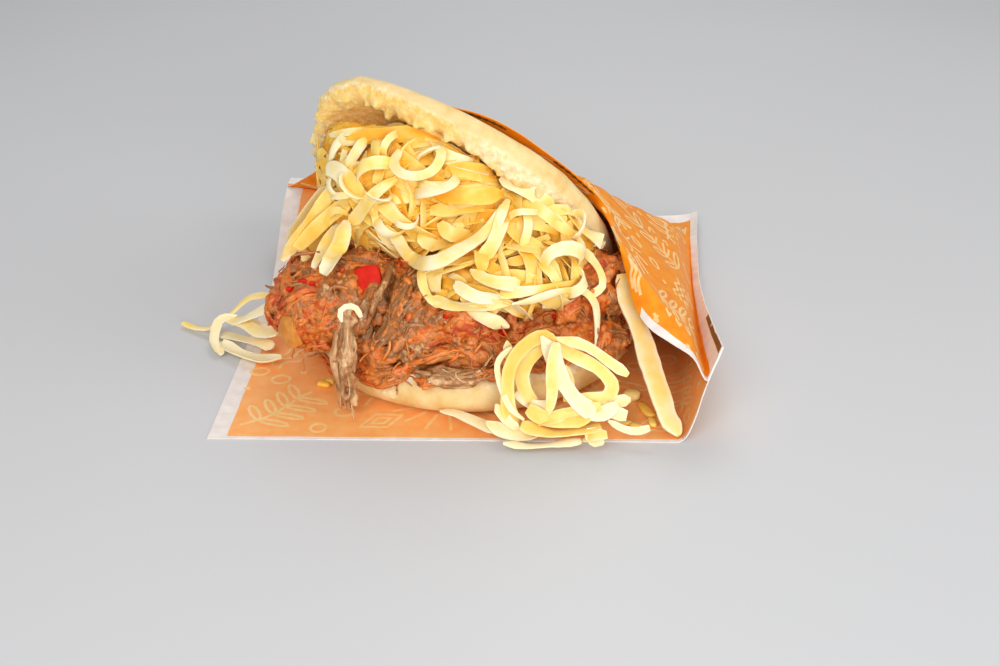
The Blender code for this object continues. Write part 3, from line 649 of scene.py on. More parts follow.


# Greaseproof paper, coated and printed in one orange: a faint satin sheen, with a grain of fibres too fine to
# show but for a soft mottling. Its unprinted margins are white. The two sheets are lit and shaded copies of
# it: the lower one, inside the bag, is painted a lighter orange, painted light against the shade there, and
# the upper one, in the lamps' full light, a darker orange, painted shade.
def printed_paper(which):
    paper, shader = finish_named(f"orange printed greaseproof paper {which}")
    flat = put(paper, "UVMap", {"uv_map": "flat paper"})
    place = put(paper, "TexCoord", output="Object")
    across = put(paper, "SeparateXYZ", None, {0: flat}).node.outputs
    left, front, right, back, starts = MARGINS[which]
    wave = put(paper, "TexNoise", None, {"Vector": place, "Scale": 60.0})
    wobble = put(paper, "MapRange", None, {0: wave, 3: -0.004, 4: 0.004})
    printed = None
    for value, edge, over in ((0, left, True), (1, front, True), (0, right, False), (1, back, False)):
        shifted = put(paper, "Math", {"operation": "ADD"}, {0: across[value], 1: wobble})
        side = {"operation": "GREATER_THAN" if over else "LESS_THAN"}
        inside = put(paper, "Math", side, {0: shifted, 1: edge})
        if value == 1 and over:
            before = put(paper, "Math", {"operation": "LESS_THAN"}, {0: across[0], 1: starts})
            inside = put(paper, "Math", {"operation": "MAXIMUM"}, {0: inside, 1: before})
        if printed is None:
            printed = inside
        else:
            printed = put(paper, "Math", {"operation": "MULTIPLY"}, {0: printed, 1: inside})
    mottle = put(paper, "TexNoise", None, {"Vector": place, "Scale": 240.0, "Detail": 5.0})
    orange = ramp(paper, mottle, PAPER_TONES_WITH_PAINTED_LIGHT[which])
    white = ramp(paper, mottle, ((0.35, "E8DDD6"), (0.65, "F3EBE5")))
    tone = put(paper, "Mix", {"data_type": "RGBA"}, {0: printed, 6: white, 7: orange})
    fine = {"Vector": place, "Scale": 120.0, "Detail": 6.0, "Roughness": 0.65}
    creases = put(paper, "TexNoise", None, fine)
    bump = put(paper, "Bump", None, {"Strength": 0.35, "Distance": 0.0006, "Height": creases})
    set_sockets(
        shader,
        {
            "Base Color": tone,
            "Roughness": 0.5,
            "Normal": bump,
            "Specular IOR Level": 0.3,
            "Subsurface Weight": 0.15,
            "Subsurface Radius": (1.0, 0.5, 0.2),
            "Subsurface Scale": 0.0006,
        },
    )
    return paper


settled(lower_piece, printed_paper("lower"), "paper", "paper_bag", crisp=60)
settled(upper_piece, printed_paper("upper"), "paper", "paper_bag", crisp=60)


def on_sheet(grid, normals, x, y, out):
    """The point that lies at these steps across and back over the sheet, this far out of it."""
    i, j = min(max(int(x), 0), size - 2), min(max(int(y), 0), size - 2)
    a, b = x - i, y - j
    spot = grid[i][j].lerp(grid[i + 1][j], a).lerp(grid[i][j + 1].lerp(grid[i + 1][j + 1], a), b)
    facing = normals[i][j].lerp(normals[i + 1][j + 1], (a + b) / 2).normalized()
    return spot + facing * out, facing


def loft(rings):
    """Points and faces through rings of one length, closed with flat ends."""
    count = len(rings[0])
    points = [p for ring in rings for p in ring]
    faces = []
    for r in range(len(rings) - 1):
        low = r * count
        for k in range(count):
            after = (k + 1) % count
            faces.append((low + k, low + after, low + count + after, low + count + k))
    top = (len(rings) - 1) * count
    faces.append(tuple(reversed(range(count))))
    faces.append(tuple(range(top, top + count)))
    return points, faces


def way_at(path, k):
    """The direction in which the path runs at one of its points."""
    return (path[min(k + 1, len(path) - 1)] - path[max(k - 1, 0)]).normalized()


def swept(path, ups, sections):
    """A closed body along the path, with a section of points across and up for each of its steps."""
    rings = []
    for k, (place, up, section) in enumerate(zip(path, ups, sections)):
        way = way_at(path, k)
        up = (up - way * up.dot(way)).normalized()
        side = way.cross(up)
        rings.append([place + side * a + up * b for a, b in section])
    return loft(rings)


def joined(name, shapes):
    """One mesh of many closed shapes, each as its points, its faces and named numbers for its points."""
    points, faces, notes = [], [], {}
    for shape_points, shape_faces, shape_notes in shapes:
        base = len(points)
        points += [p * MM for p in shape_points]
        faces += [tuple(base + k for k in face) for face in shape_faces]
        for key, values in shape_notes.items():
            if not isinstance(values, list):
                values = [values] * len(shape_points)
            notes.setdefault(key, []).extend(values)
    mesh = bpy.data.meshes.new(name)
    mesh.from_pydata(points, [], faces)
    made = placed(name, mesh)
    for key, values in notes.items():
        note(made, key, values)
    return made


def arc(middle, radius, start, end, steps=10):
    """Points round part of a circle, with its angles in degrees."""
    turns = [math.radians(start + (end - start) * k / steps) for k in range(steps + 1)]
    return [(middle[0] + radius * math.cos(a), middle[1] + radius * math.sin(a)) for a in turns]


# The print is line work: sprigs, fans, bows, waves, lozenges, rings and small crosses, each drawn round its
# own middle for a size of one, as lines of points.


def sprig():
    stem = [(0.12 * math.sin(k * 0.5), -1 + 0.2 * k) for k in range(11)]
    lines = [stem]
    for k, (x, y) in enumerate(stem[2:9:2]):
        for side in (-1, 1):
            leaf = []
            for step in range(9):
                a = 2 * math.pi * step / 8
                out = 0.33 + 0.33 * math.cos(a + math.pi)
                leaf.append((x + side * out, y + 0.42 * out + 0.10 * math.sin(a)))
            lines.append(leaf)
    return lines


def fan():
    lines = [arc((0, -0.4), 0.42, 0, 180, 8)]
    for k in range(7):
        a = math.radians(12 + 26 * k)
        lines.append([(r * math.cos(a), r * math.sin(a) - 0.4) for r in (0.62, 0.95, 1.3)])
    return lines


def waves():
    lines = []
    for level in (-0.35, 0.0, 0.35):
        lines.append([(x / 8, level + 0.12 * math.sin(x * 0.9)) for x in range(-8, 9)])
    return lines


def ring():
    return [arc((0, 0), 0.6, 0, 360, 14)]


def lozenge():
    outer = [(0, -1), (0.62, 0), (0, 1), (-0.62, 0), (0, -1)]
    return [outer, [(x * 0.45, y * 0.45) for x, y in outer]]


def small_cross():
    return [[(-0.4, 0), (0.4, 0)], [(0, -0.4), (0, 0.4)]]


def bow():
    bands = ((1.0, 35), (1.3, 35), (1.6, 40))
    return [arc((0, -0.8), radius, start, 180 - start) for radius, start in bands]


# Each motif with its size in millimetres, from the large ones to the small.
MOTIFS = (
    (sprig, 17.0),
    (fan, 15.0),
    (bow, 15.0),
    (waves, 11.0),
    (lozenge, 8.0),
    (ring, 4.5),
    (small_cross, 3.5),
)
SHEET_WIDTH = 160.0
STEP_MM = SHEET_WIDTH / (BAG_STEPS * FINER)


def scattered_motifs(seed, low, high):
    """Lines of points over the flat sheet, in its steps: motifs of each kind, turned and set at random."""
    draw = random.Random(seed)
    kept, lines = [], []
    for attempt in range(MOTIF_TRIES):
        # The large motifs are laid first, and the small ones fill the room between them.
        motif, reach = MOTIFS[min(len(MOTIFS) - 1, attempt * (len(MOTIFS) + 1) // MOTIF_TRIES)]
        radius = reach * draw.uniform(0.8, 1.15)
        x, y = draw.uniform(low, high), draw.uniform(low, high)
        room = radius / STEP_MM
        gap = MOTIF_GAP / STEP_MM
        if any(math.hypot(x - a, y - b) < room + r + gap for a, b, r in kept):
            continue
        if min(x, y) - room < low or max(x, y) + room > high:
            continue
        kept.append((x, y, room))
        turn = draw.uniform(0, 2 * math.pi)
        cos, sin = math.cos(turn) * room, math.sin(turn) * room
        for line in motif():
            lines.append([(x + a * cos - b * sin, y + a * sin + b * cos) for a, b in line])
    return lines


def bar(width, thickness):
    """The corners of a flat rectangular section."""
    return [(a * width / 2, b * thickness / 2) for a, b in ((1, -1), (1, 1), (-1, 1), (-1, -1))]


def inked(name, lines, faces):
    """The lines of ink on each face of a sheet, given as its grid, its normals and how far out they lie."""
    shapes = []
    for grid, normals, out in faces:
        for line in lines:
            spots = [on_sheet(grid, normals, x, y, out) for x, y in line]
            path = [spot for spot, _ in spots]
            ups = [facing for _, facing in spots]
            shapes.append((*swept(path, ups, [bar(INK_WIDTH, INK_THICKNESS)] * len(path)), {}))
    return joined(name, shapes)


# Opaque ink, pale yellow or brown, a little raised and a little satin, mottled where it is thin.
def printing_ink(name, tones):
    ink, shader = finish_named(name)
    place = put(ink, "TexCoord", output="Object")
    mottle = put(ink, "TexNoise", None, {"Vector": place, "Scale": 400.0, "Detail": 3.0})
    set_sockets(shader, {"Base Color": ramp(ink, mottle, tones), "Roughness": 0.4})
    return ink


pale_ink = printing_ink("pale yellow printing ink", ((0.3, "F6C274"), (0.7, "FAD596")))
brown_ink = printing_ink("dark brown printing ink", ((0.3, "5E3712"), (0.7, "6F451A")))
lines = scattered_motifs(seed=3, low=1.5, high=sealed - 0.5)
lower_faces = [(lower_over, lift, INK_OUT), (lower, lift, -INK_OUT)]
settled(inked("lower_sheet_print", lines, lower_faces), pale_ink, "paper", crisp=30)
lines = scattered_motifs(seed=8, low=0.6, high=sealed - 0.5)
upper_faces = [(upper_over, rise, INK_OUT), (upper, rise, -INK_OUT)]
settled(inked("upper_sheet_print", lines, upper_faces), pale_ink, "paper", crisp=30)


def seam_mark(low, high, across):
    """A plain brown bar printed along the sealed margin."""
    rows = []
    for k in range(9):
        y = low + (high - low) * k / 8
        rows.append([on_sheet(upper_over, rise, x, y, INK_OUT) for x in across])
    path = [(row[0][0] + row[1][0]) / 2 for row in rows]
    sections = [bar((row[0][0] - row[1][0]).length, INK_THICKNESS) for row in rows]
    return (*swept(path, [row[0][1] for row in rows], sections), {})


def border_marks(start, end, back=1.4):
    """Lozenges and short bars in a row behind the sheet's front edge."""
    lines = []
    for k in range(start, end):
        left = (k - 0.3, back)
        lines.append([left, (k, back + 0.35), (k + 0.3, back), (k, back - 0.35), left])
        lines.append([(k + 0.5, back - 0.3), (k + 0.5, back + 0.3)])
    return lines


border = border_marks(12, 19) + border_marks(26, 33)
settled(inked("border_print", border, upper_faces), brown_ink, "paper", crisp=30)
seam_bar = seam_mark(low=1.5, high=22.0, across=(73.4, 74.9))
settled(joined("seam_mark", [seam_bar]), brown_ink, "paper", crisp=30)


# The beef. Long cooked fibres of meat, pulled apart and stirred into a sauce of tomato and its own fat, in
# a heap on the lower half. Each bundle of fibres is modelled one by one over the middle of the heap.

DOME = 5.5
CLEARANCE = 0.4
HEAP_VOXEL = 1.3
# Each lump's middle, its radii, and its turn about the vertical in degrees.
BEEF_LUMPS = (
    ((-43, -24, 25), (22, 20, 15), 20),
    ((-8, -20, 24), (38, 28, 15), 0),
    ((33, -14, 26), (21, 25, 15), -15),
    ((-5, 14, 25), (42, 28, 14), 0),
    ((3, -30, 17), (46, 26, 9.5), 0),
)
SHREDS = 800
THREADS = 420
SHRED_SIDES = 10
THREAD_SIDES = (-1.57, 0.0, 1.57, 3.14)
SAUCE_BITS = 260
# The bundles that show in front. Each has its line over the picture, how far it stands out of the heap, its
# width and height, how many fibres it has, its tone from saucy to grey brown, and how much the tones differ
# within it.
SEEN_BUNDLES = (
    (((391, 262), (379, 292), (368, 315), (361, 340)), 3.6, 7.5, 5.0, 14, 0.74, 0.12),
    (((406, 272), (400, 300), (388, 328), (372, 347)), 3.0, 8.0, 5.0, 14, 0.66, 0.12),
    (((420, 296), (414, 320), (398, 341), (380, 356)), 2.4, 6.0, 4.5, 11, 0.60, 0.16),
    (((416, 274), (413, 290), (405, 308), (393, 326)), 3.0, 7.5, 5.0, 13, 0.62, 0.10),
    (((372, 368), (386, 373), (400, 371), (412, 364)), 3.0, 5.0, 4.0, 10, 0.30, 0.16),
    (((410, 374), (440, 377), (468, 378), (494, 373)), 2.6, 6.0, 4.5, 11, 0.88, 0.10),
    (((408, 380), (420, 383), (436, 382), (450, 379)), 1.8, 3.0, 2.5, 6, 0.14, 0.10),
    (((356, 366), (366, 376), (382, 381), (402, 377)), 2.6, 6.0, 4.5, 11, 0.20, 0.16),
    (((364, 374), (378, 380), (392, 380), (406, 372)), 2.2, 4.5, 3.5, 8, 0.42, 0.16),
    (((466, 372), (482, 376), (498, 376), (512, 370)), 2.2, 4.5, 4.0, 8, 0.34, 0.16),
    (((318, 354), (328, 362), (336, 372), (344, 380)), 1.8, 3.5, 3.0, 6, 0.22, 0.12),
    (((404, 352), (424, 340), (446, 333), (466, 338)), 1.6, 6.0, 4.0, 9, 0.30, 0.16),
    (((400, 366), (424, 356), (448, 350), (470, 352)), 1.6, 6.0, 4.0, 9, 0.40, 0.20),
    (((437, 322), (452, 312), (470, 312), (484, 324)), 2.6, 8.0, 5.5, 13, 0.22, 0.12),
    (((444, 338), (458, 326), (474, 326), (488, 338)), 2.6, 8.0, 5.5, 13, 0.18, 0.12),
    (((470, 352), (482, 342), (492, 348), (498, 360)), 1.6, 5.0, 4.0, 8, 0.34, 0.18),
    (((284, 300), (296, 288), (312, 281), (330, 280)), 1.2, 6.0, 4.0, 10, 0.30, 0.22),
    (((280, 320), (292, 306), (308, 298), (328, 296)), 1.6, 6.5, 4.0, 10, 0.36, 0.26),
    (((292, 348), (298, 330), (304, 314), (300, 300)), 1.8, 5.0, 4.0, 9, 0.24, 0.16),
    (((304, 352), (316, 338), (326, 324), (340, 316)), 1.6, 5.5, 4.0, 9, 0.30, 0.18),
    (((296, 326), (312, 328), (328, 326), (342, 318)), 1.4, 3.5, 3.0, 6, 0.16, 0.10),
    (((332, 270), (345, 262), (357, 262), (366, 268)), 1.0, 5.0, 3.5, 8, 0.52, 0.18),
    (((360, 366), (374, 372), (388, 376), (404, 370)), 1.4, 5.0, 3.5, 9, 0.26, 0.18),
    (((352, 350), (366, 358), (380, 360), (396, 354)), 1.4, 5.0, 3.5, 9, 0.32, 0.20),
    (((508, 352), (514, 338), (524, 326), (538, 318)), 1.4, 5.0, 4.0, 9, 0.44, 0.20),
    (((520, 344), (532, 334), (546, 330), (560, 334)), 1.4, 5.0, 4.0, 9, 0.34, 0.18),
    (((560, 330), (566, 316), (576, 306), (588, 302)), 1.6, 5.0, 4.0, 9, 0.30, 0.16),
    (((598, 300), (608, 296), (616, 304), (618, 318)), 1.6, 5.0, 4.0, 9, 0.62, 0.16),
    (((600, 330), (612, 326), (622, 334), (624, 348)), 1.6, 5.0, 4.0, 9, 0.56, 0.16),
    (((602, 316), (606, 330), (604, 344), (598, 356)), 1.6, 4.5, 3.5, 8, 0.46, 0.20),
)
BUNDLE_SINKS = 1.4
# The line of the shred that hangs out at the front left, in millimetres.
HANGING_SHRED = ((-41, -37, 34), (-39.5, -42, 30), (-40, -49, 22), (-39, -54.5, 12.5), (-38, -58, 4.2))
SHRED_CLEARANCE = 1.8


def lump(shape, centre, radii, turn, grain, seed):
    """Adds a rounded lump as long as its radii say, turned about Z, with an uneven face."""
    made = bmesh.ops.create_icosphere(shape, subdivisions=4, radius=1.0)
    cos, sin = math.cos(math.radians(turn)), math.sin(math.radians(turn))
    for v in made["verts"]:
        uneven = 1 + grain * noise.noise(v.co * 2.1 + Vector((seed * 7.3, seed * 3.1, 0)))
        x, y, z = (v.co[k] * radii[k] * uneven for k in range(3))
        v.co = (Vector(centre) + Vector((x * cos - y * sin, x * sin + y * cos, z))) * MM


def behind_upper_half():
    """All that lies behind the upper half's inner face, as one solid to cut with."""
    rim = smooth_path(RIM_KNOTS, 4, closed=True)
    middle = sum(rim, Vector()) / len(rim)
    inward = OUTWARD * (UPPER_THICKNESS + 3 * CLEARANCE)
    rings = []
    for share, rise in ((0.05, 1.0), (0.5, 0.7), (1.0, 0.0), (1.45, 0.0)):
        rings.append([middle + (p - middle) * share + OUTWARD * DOME * rise - inward for p in rim])
    rings.append([p + OUTWARD * 90 for p in rings[-1]])
    made = joined("behind", [(*loft(rings), {})])
    shape = bmesh.new()
    shape.from_mesh(made.data)
    if shape.calc_volume(signed=True) < 0:
        bmesh.ops.reverse_faces(shape, faces=shape.faces)
    shape.to_mesh(made.data)
    shape.free()
    return made


def heap_of(name, lumps, grain, cutters):
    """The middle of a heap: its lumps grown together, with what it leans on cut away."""
    shape = bmesh.new()
    for k, (centre, radii, turn) in enumerate(lumps):
        lump(shape, centre, radii, turn, grain, k)
    mesh = bpy.data.meshes.new(name)
    shape.to_mesh(mesh)
    shape.free()
    made = placed(name, mesh)
    grown_together(made, HEAP_VOXEL)
    for cutter in cutters:
        shaped(made, ("BOOLEAN", {"operation": "DIFFERENCE", "object": cutter, "solver": "MANIFOLD"}))
    grown_together(made, HEAP_VOXEL, 4)
    return made


def shrunk(piece, depth, amount, scale, tone):
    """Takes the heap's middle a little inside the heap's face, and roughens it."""
    points, normals = points_of(piece)
    for k, (p, n) in enumerate(zip(points, normals)):
        points[k] = p - n * (depth - amount * rough(p, scale, 3))
    set_points(piece, points)
    note(piece, "tone", [tone + 0.25 * rough(p, 9, 2) for p in points])
    note(piece, "around", [p[0] + p[2] for p in points])
    note(piece, "reach", [p[1] for p in points])


def ray_through(x, y):
    """The direction from the eye through this place in the picture."""
    across = (x - PICTURE[0] / 2) * SENSOR / PICTURE[0]
    up = (PICTURE[1] / 2 - y) * SENSOR / PICTURE[0]
    return (EYE_TURN.to_matrix() @ Vector((across, up, -LENS))).normalized()


def at_twentieth(values, place):
    """The value this many twentieths of the way along a smooth line through three values."""
    return smooth_path([(value, 0, 0) for value in values], 10)[round(place)].x


def evened(ups, rounds):
    """The same directions, each turned towards those of its neighbours so many times."""
    last = len(ups) - 1
    for _ in range(rounds):
        ups = [(ups[max(k - 1, 0)] + ups[k] + ups[min(k + 1, last)]).normalized() for k in range(last + 1)]
    return ups


def laid_in_view(trees, knots, stands, steps=4):
    """A line drawn over the picture, laid on what shows there, and this far in front of it along its way."""
    drawn = smooth_path([(*knot, 0.0) for knot in knots], steps)
    rays = [ray_through(p.x, p.y) for p in drawn]
    depths, ups = [], []
    for ray in rays:
        hits = [tree.ray_cast(EYE, ray) for tree in trees]
        hits = [hit for hit in hits if hit[0] is not None]
        if hits:
            spot, normal, _, distance = min(hits, key=lambda hit: hit[3])
            depths.append(distance)
            ups.append(normal)
        else:
            depths.append(None)
            ups.append(-ray)
    known = [k for k, depth in enumerate(depths) if depth is not None]
    for k, depth in enumerate(depths):
        if depth is None:
            depths[k] = depths[min(known, key=lambda n: abs(n - k))] if known else (EYE.length - 10)
    path_depths = list(depths)
    for _ in range(6):
        for k in range(1, len(depths) - 1):
            middle = (path_depths[k - 1] + path_depths[k + 1]) / 2
            path_depths[k] = min(depths[k], (path_depths[k] + middle) / 2)
    path = []
    for k, ray in enumerate(rays):
        out = at_twentieth(stands, 20 * k / (len(rays) - 1))
        path.append(EYE + ray * (path_depths[k] - out))
    return path, [(up * 0.6 - ray * 0.4).normalized() for up, ray in zip(evened(ups, 3), rays)]


def laid_by_walking(tree, start, normal, heading, length, bend, steps, heights):
    """A path over the surface that turns as it goes, with its heights at the start, the end and the arch."""
    low, high, arch = heights
    across = normal.cross(Vector((0.3, 0.5, 0.8))).normalized()
    ahead = across * math.cos(heading) + normal.cross(across) * math.sin(heading)
    path, ups = [], []
    place = start
    turn = math.radians(bend) / steps
    for k in range(steps + 1):
        share = k / steps
        path.append(place + normal * (low + (high - low) * share + arch * math.sin(math.pi * share)))
        ups.append(normal)
        ahead = (ahead - normal * ahead.dot(normal)).normalized()
        ahead = ahead * math.cos(turn) + normal.cross(ahead) * math.sin(turn)
        place, normal, _ = nearest(tree, place + ahead * length / steps)
    return path, evened(ups, 2)


MOST_CROSSINGS = 40
DEEPEST_INSIDE = 14.0


def is_inside(point, tree):
    """Whether a line out from the point crosses the tree's closed surface an odd number of times."""
    way = Vector((0.31, 0.22, 0.92)).normalized()
    crossings = 0
    spot = tree.ray_cast(point, way)[0]
    while spot is not None and crossings < MOST_CROSSINGS:
        crossings += 1
        spot = tree.ray_cast(spot + way * 0.001, way)[0]
    return crossings % 2 == 1


def is_clear(points, trees, gap):
    """Whether all the points stand this far out of every tree, and over the table."""
    if min(p.z for p in points) < gap:
        return False
    for tree in trees:
        for p in points:
            spot, normal, _, distance = tree.find_nearest(p)
            if distance < gap:
                return False
            if distance < DEEPEST_INSIDE and (p - spot).dot(normal) < 0 and is_inside(p, tree):
                return False
    return True


def shred(draw, path, ups, width, height, tone):
    """A pulled shred: fibres grown together, with grooves between them, and ragged ends."""
    last = len(path) - 1
    seed = Vector((draw.uniform(0, 90), draw.uniform(0, 90), 0))
    ridges = [1 - (draw.uniform(0.10, 0.34) if n % 2 else 0.0) for n in range(SHRED_SIDES)]
    blunt = draw.uniform(0.25, 0.8), draw.uniform(0.25, 0.8)
    sections, tones, around, reach = [], [], [], []
    gone = draw.uniform(0, 90)
    for k, place in enumerate(path):
        share = k / last
        gone += (place - path[max(k - 1, 0)]).length
        fat = min(1.0, blunt[0] + share * 4, blunt[1] + (1 - share) * 4)
        fat *= 1 + 0.5 * noise.noise(place * 0.35 + seed)
        section = []
        for n, ridge in enumerate(ridges):
            a = 2 * math.pi * n / SHRED_SIDES - math.pi / 2
            r = fat * ridge * (1 + 0.45 * noise.noise(Vector((n * 1.9, gone * 0.45, seed.x))))
            section.append((math.cos(a) * width / 2 * r, math.sin(a) * height / 2 * r))
            streak = 0.22 * noise.noise(Vector((n * 0.8, gone * 0.2, seed.y)))
            tones.append(tone + streak - 0.25 * (1 - ridge))
            around.append(seed.x + math.pi * width * n / SHRED_SIDES)
            reach.append(gone)
        sections.append(section)
    return (*swept(path, ups, sections), {"tone": tones, "around": around, "reach": reach})


def thread(draw, start, way, normal, length, thick, tone):
    """A single fibre that has come loose, thin and bent."""
    place, line = start, [start]
    for _ in range(4):
        way = (way + jitter(draw, 0.32)).normalized()
        place = place + way * length / 4
        line.append(place)
    line = smooth_path(line, 2)
    sections = []
    for k in range(len(line)):
        fat = thick * (0.55 + 0.45 * math.sin(math.pi * (k + 0.6) / len(line)))
        sections.append([(fat * math.cos(a), fat * math.sin(a)) for a in THREAD_SIDES])
    notes = {"tone": tone, "around": start.x * 3, "reach": start.z}
    return (*swept(line, [normal] * len(line), sections), notes)


def bundle(draw, path, ups, width, height, count, tone, spread):
    """Shreds that lie along each other, some on top and some shorter, with threads that stand off them."""
    shapes = []
    last = len(path) - 1
    for _ in range(count):
        aside, over = draw.gauss(0, 0.24) * width, draw.gauss(0, 0.20) * height
        aside = max(-0.30 * width, min(0.30 * width, aside))
        seed = Vector((draw.uniform(0, 90), 0, 0))
        moved = []
        for k, place in enumerate(path):
            side = way_at(path, k).cross(ups[k]).normalized()
            drift = noise.noise_vector(place * 0.09 + seed) * width * 0.22
            moved.append(place + side * aside + ups[k] * over + drift)
        begin, end = draw.randint(0, last // 3), len(path) - draw.randint(0, last // 3)
        own = tone + draw.uniform(-spread, spread)
        thick = width * draw.uniform(0.20, 0.42)
        shapes.append(shred(draw, moved[begin:end], ups[begin:end], thick, thick * 0.8, own))
        at = draw.randint(1, last - 1)
        way = way_at(path, at) * draw.choice((-1, 1))
        start = moved[at] + ups[at] * thick * 0.4
        shapes.append(thread(draw, start, way, ups[at], draw.uniform(3, 9), thick=0.3, tone=own + 0.1))
    return shapes


def ball(fineness):
    """The points and faces of a ball with a radius of one."""
    shape = bmesh.new()
    bmesh.ops.create_icosphere(shape, subdivisions=fineness, radius=1.0)
    points = [v.co.copy() for v in shape.verts]
    faces = [tuple(v.index for v in face.verts) for face in shape.faces]
    shape.free()
    return points, faces


def sauce_bit(draw, spot, normal):
    """A speck of stewed tomato and broken meat."""
    size = draw.uniform(0.4, 1.3)
    stretch = Vector((size * draw.uniform(0.8, 2.0), size, size * 0.7))
    turn = tumbled(draw)
    points, faces = ball(1)
    points = [spot + normal * 0.1 + turn @ (p * stretch * draw.uniform(0.7, 1.25)) for p in points]
    return points, faces, {"tone": draw.uniform(0.0, 0.45), "around": spot.x, "reach": spot.z}


behind = behind_upper_half()
bread_cutter = taken_from("bread", "bread cutter")
points, normals = points_of(bread_cutter)
set_points(bread_cutter, points + normals * CLEARANCE)
beef_heap = heap_of("beef heap", BEEF_LUMPS, grain=0.16, cutters=(behind, bread_cutter))
beef_face = tree_of(beef_heap)
bread_face = tree_of(bread)
lower_face = tree_of(lower_piece)
upper_face = tree_of(upper_piece)
fixed = (bread_face, lower_face, upper_face)
toppings = [tree_of(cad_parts[name]) for name in ("red_pepper", "onion_left", "onion_right")]

draw = random.Random(5)
strands = []
for knots, stands, *looks in SEEN_BUNDLES:
    ends = stands - BUNDLE_SINKS
    strands += bundle(draw, *laid_in_view([beef_face, bread_face], knots, (ends, stands, ends)), *looks)
path = smooth_path(HANGING_SHRED, 3)
facing = [Vector((-0.4, -0.85, 0.25)).normalized()] * len(path)
strands += bundle(draw, path, facing, width=7.2, height=5.4, count=18, tone=0.84, spread=0.12)


def place_on_heap(draw, tree):
    """A random place on the heap's open faces."""
    towards = Vector((draw.uniform(-1, 1), draw.uniform(-1, 0.7), draw.uniform(-0.25, 0.9))).normalized()
    seat = Vector((draw.uniform(-45, 40), draw.uniform(-26, 6), 24))
    spot, normal, _, _ = tree.ray_cast(seat + towards * 90, -towards)
    return spot, normal


matted = [shape for shape in strands if draw.random() < 0.8]
strands = [shape for shape in strands if draw.random() < 0.6]
for _ in range(SHREDS):
    spot, normal = place_on_heap(draw, beef_face)
    heading, length = draw.uniform(0, 6.3), draw.uniform(4, 14)
    bend, width = draw.uniform(-80, 80), draw.uniform(1.3, 4.6)
    if spot is None:
        continue
    tone = 0.42 + 0.55 * rough(spot, 9, 2) + draw.uniform(-0.16, 0.16)
    sunk = draw.uniform(-1.0, 1.4)
    heights = (sunk, sunk, 1.2)
    path, ups = laid_by_walking(beef_face, spot, normal, heading, length, bend, 7, heights)
    if is_clear(path, fixed, SHRED_CLEARANCE):
        matted.append(shred(draw, path, ups, width, width * draw.uniform(0.5, 0.8), tone))


def closed_in_for_painted_shade(piece, rays=6, reach=5.0):
    """How much of the room before each point of a piece is closed off by the piece itself."""
    draw = random.Random(11)
    tree = tree_of(piece)
    points, normals = points_of(piece)
    shares = []
    for p, n in zip(points, normals):
        normal = Vector(n)
        start = Vector(p) + normal * 0.2
        hits = 0
        for _ in range(rays):
            way = (normal + jitter(draw, 0.55)).normalized()
            hits += tree.ray_cast(start, way, reach)[0] is not None
        shares.append(hits / rays)
    return shares


def matted_together(name, shapes, core, voxel):
    """Shreds and core grown into one craggy mass that keeps the tones of the shreds."""
    loose = joined(name + " loose", shapes)
    tree = tree_of(loose)
    values = [0.0] * len(loose.data.vertices)
    loose.data.attributes["tone"].data.foreach_get("value", values)
    corners = [polygon.vertices[0] for polygon in loose.data.polygons]
    merged = joined(name, shapes)
    picked(merged, placed(name + " core", core.data.copy()))
    bpy.ops.object.join()
    grown_together(merged, voxel, 1, factor=0.2)
    points, normals = points_of(merged)
    tones = []
    for k, (p, n) in enumerate(zip(points, normals)):
        spot, _, face, away = tree.find_nearest(Vector(p))
        near = max(0.0, 1 - away / 1.6)
        tones.append(values[corners[face]] * near + 0.30 * (1 - near) + 0.3 * rough(p, 1.6, 2))
        points[k] = p + n * (0.5 * rough(p, 1.5, 3) + 0.9 * rough(p, 5.5, 2) - 0.1)
    set_points(merged, points)
    note(merged, "tone", tones)
    # How closed in each point is, kept for the painted shade in the crevices.
    note(merged, "closed", closed_in_for_painted_shade(merged))
    note(merged, "around", [p[0] + p[2] for p in points])
    note(merged, "reach", [p[1] for p in points])
    bpy.data.objects.remove(loose)
    return merged


matted_core = matted_together("beef_core", matted, beef_heap, voxel=0.64)
matted_face = tree_of(matted_core)
threads, bits = [], []
for _ in range(THREADS):
    spot, normal = place_on_heap(draw, matted_face)
    if spot is None or not is_clear([spot], fixed, 1.2) or not is_clear([spot], toppings, 3.0):
        continue
    way = (jitter(draw, 1).cross(normal) + normal * draw.uniform(0, 0.5)).normalized()
    tone = 0.45 + 0.5 * rough(spot, 9, 2) + draw.uniform(-0.2, 0.25)
    length, thick = draw.uniform(3, 10), draw.choice((0.24, 0.32, 0.42, 0.6, 0.8))
    threads.append(thread(draw, spot - way * length * 0.4, way, normal, length, thick, tone))
for _ in range(SAUCE_BITS):
    spot, normal = place_on_heap(draw, matted_face)
    if spot is not None and is_clear([spot], fixed, 1.2) and is_clear([spot], toppings, 2.0):
        bits.append(sauce_bit(draw, spot, normal))

# Stewed beef: wet fibres between brick orange where the sauce clings and grey brown where it has run off,
# with a film of fat over them that gives small sharp lights. Where the mass closes in on itself its colour is
# painted darker: painted shade in its crevices.
BEEF_TONES = (
    (0.00, "BE460E"),
    (0.18, "DE6C20"),
    (0.36, "EA8C3E"),
    (0.52, "C07438"),
    (0.68, "9C6638"),
    (0.84, "CA925C"),
    (1.00, "E8BE8C"),
)


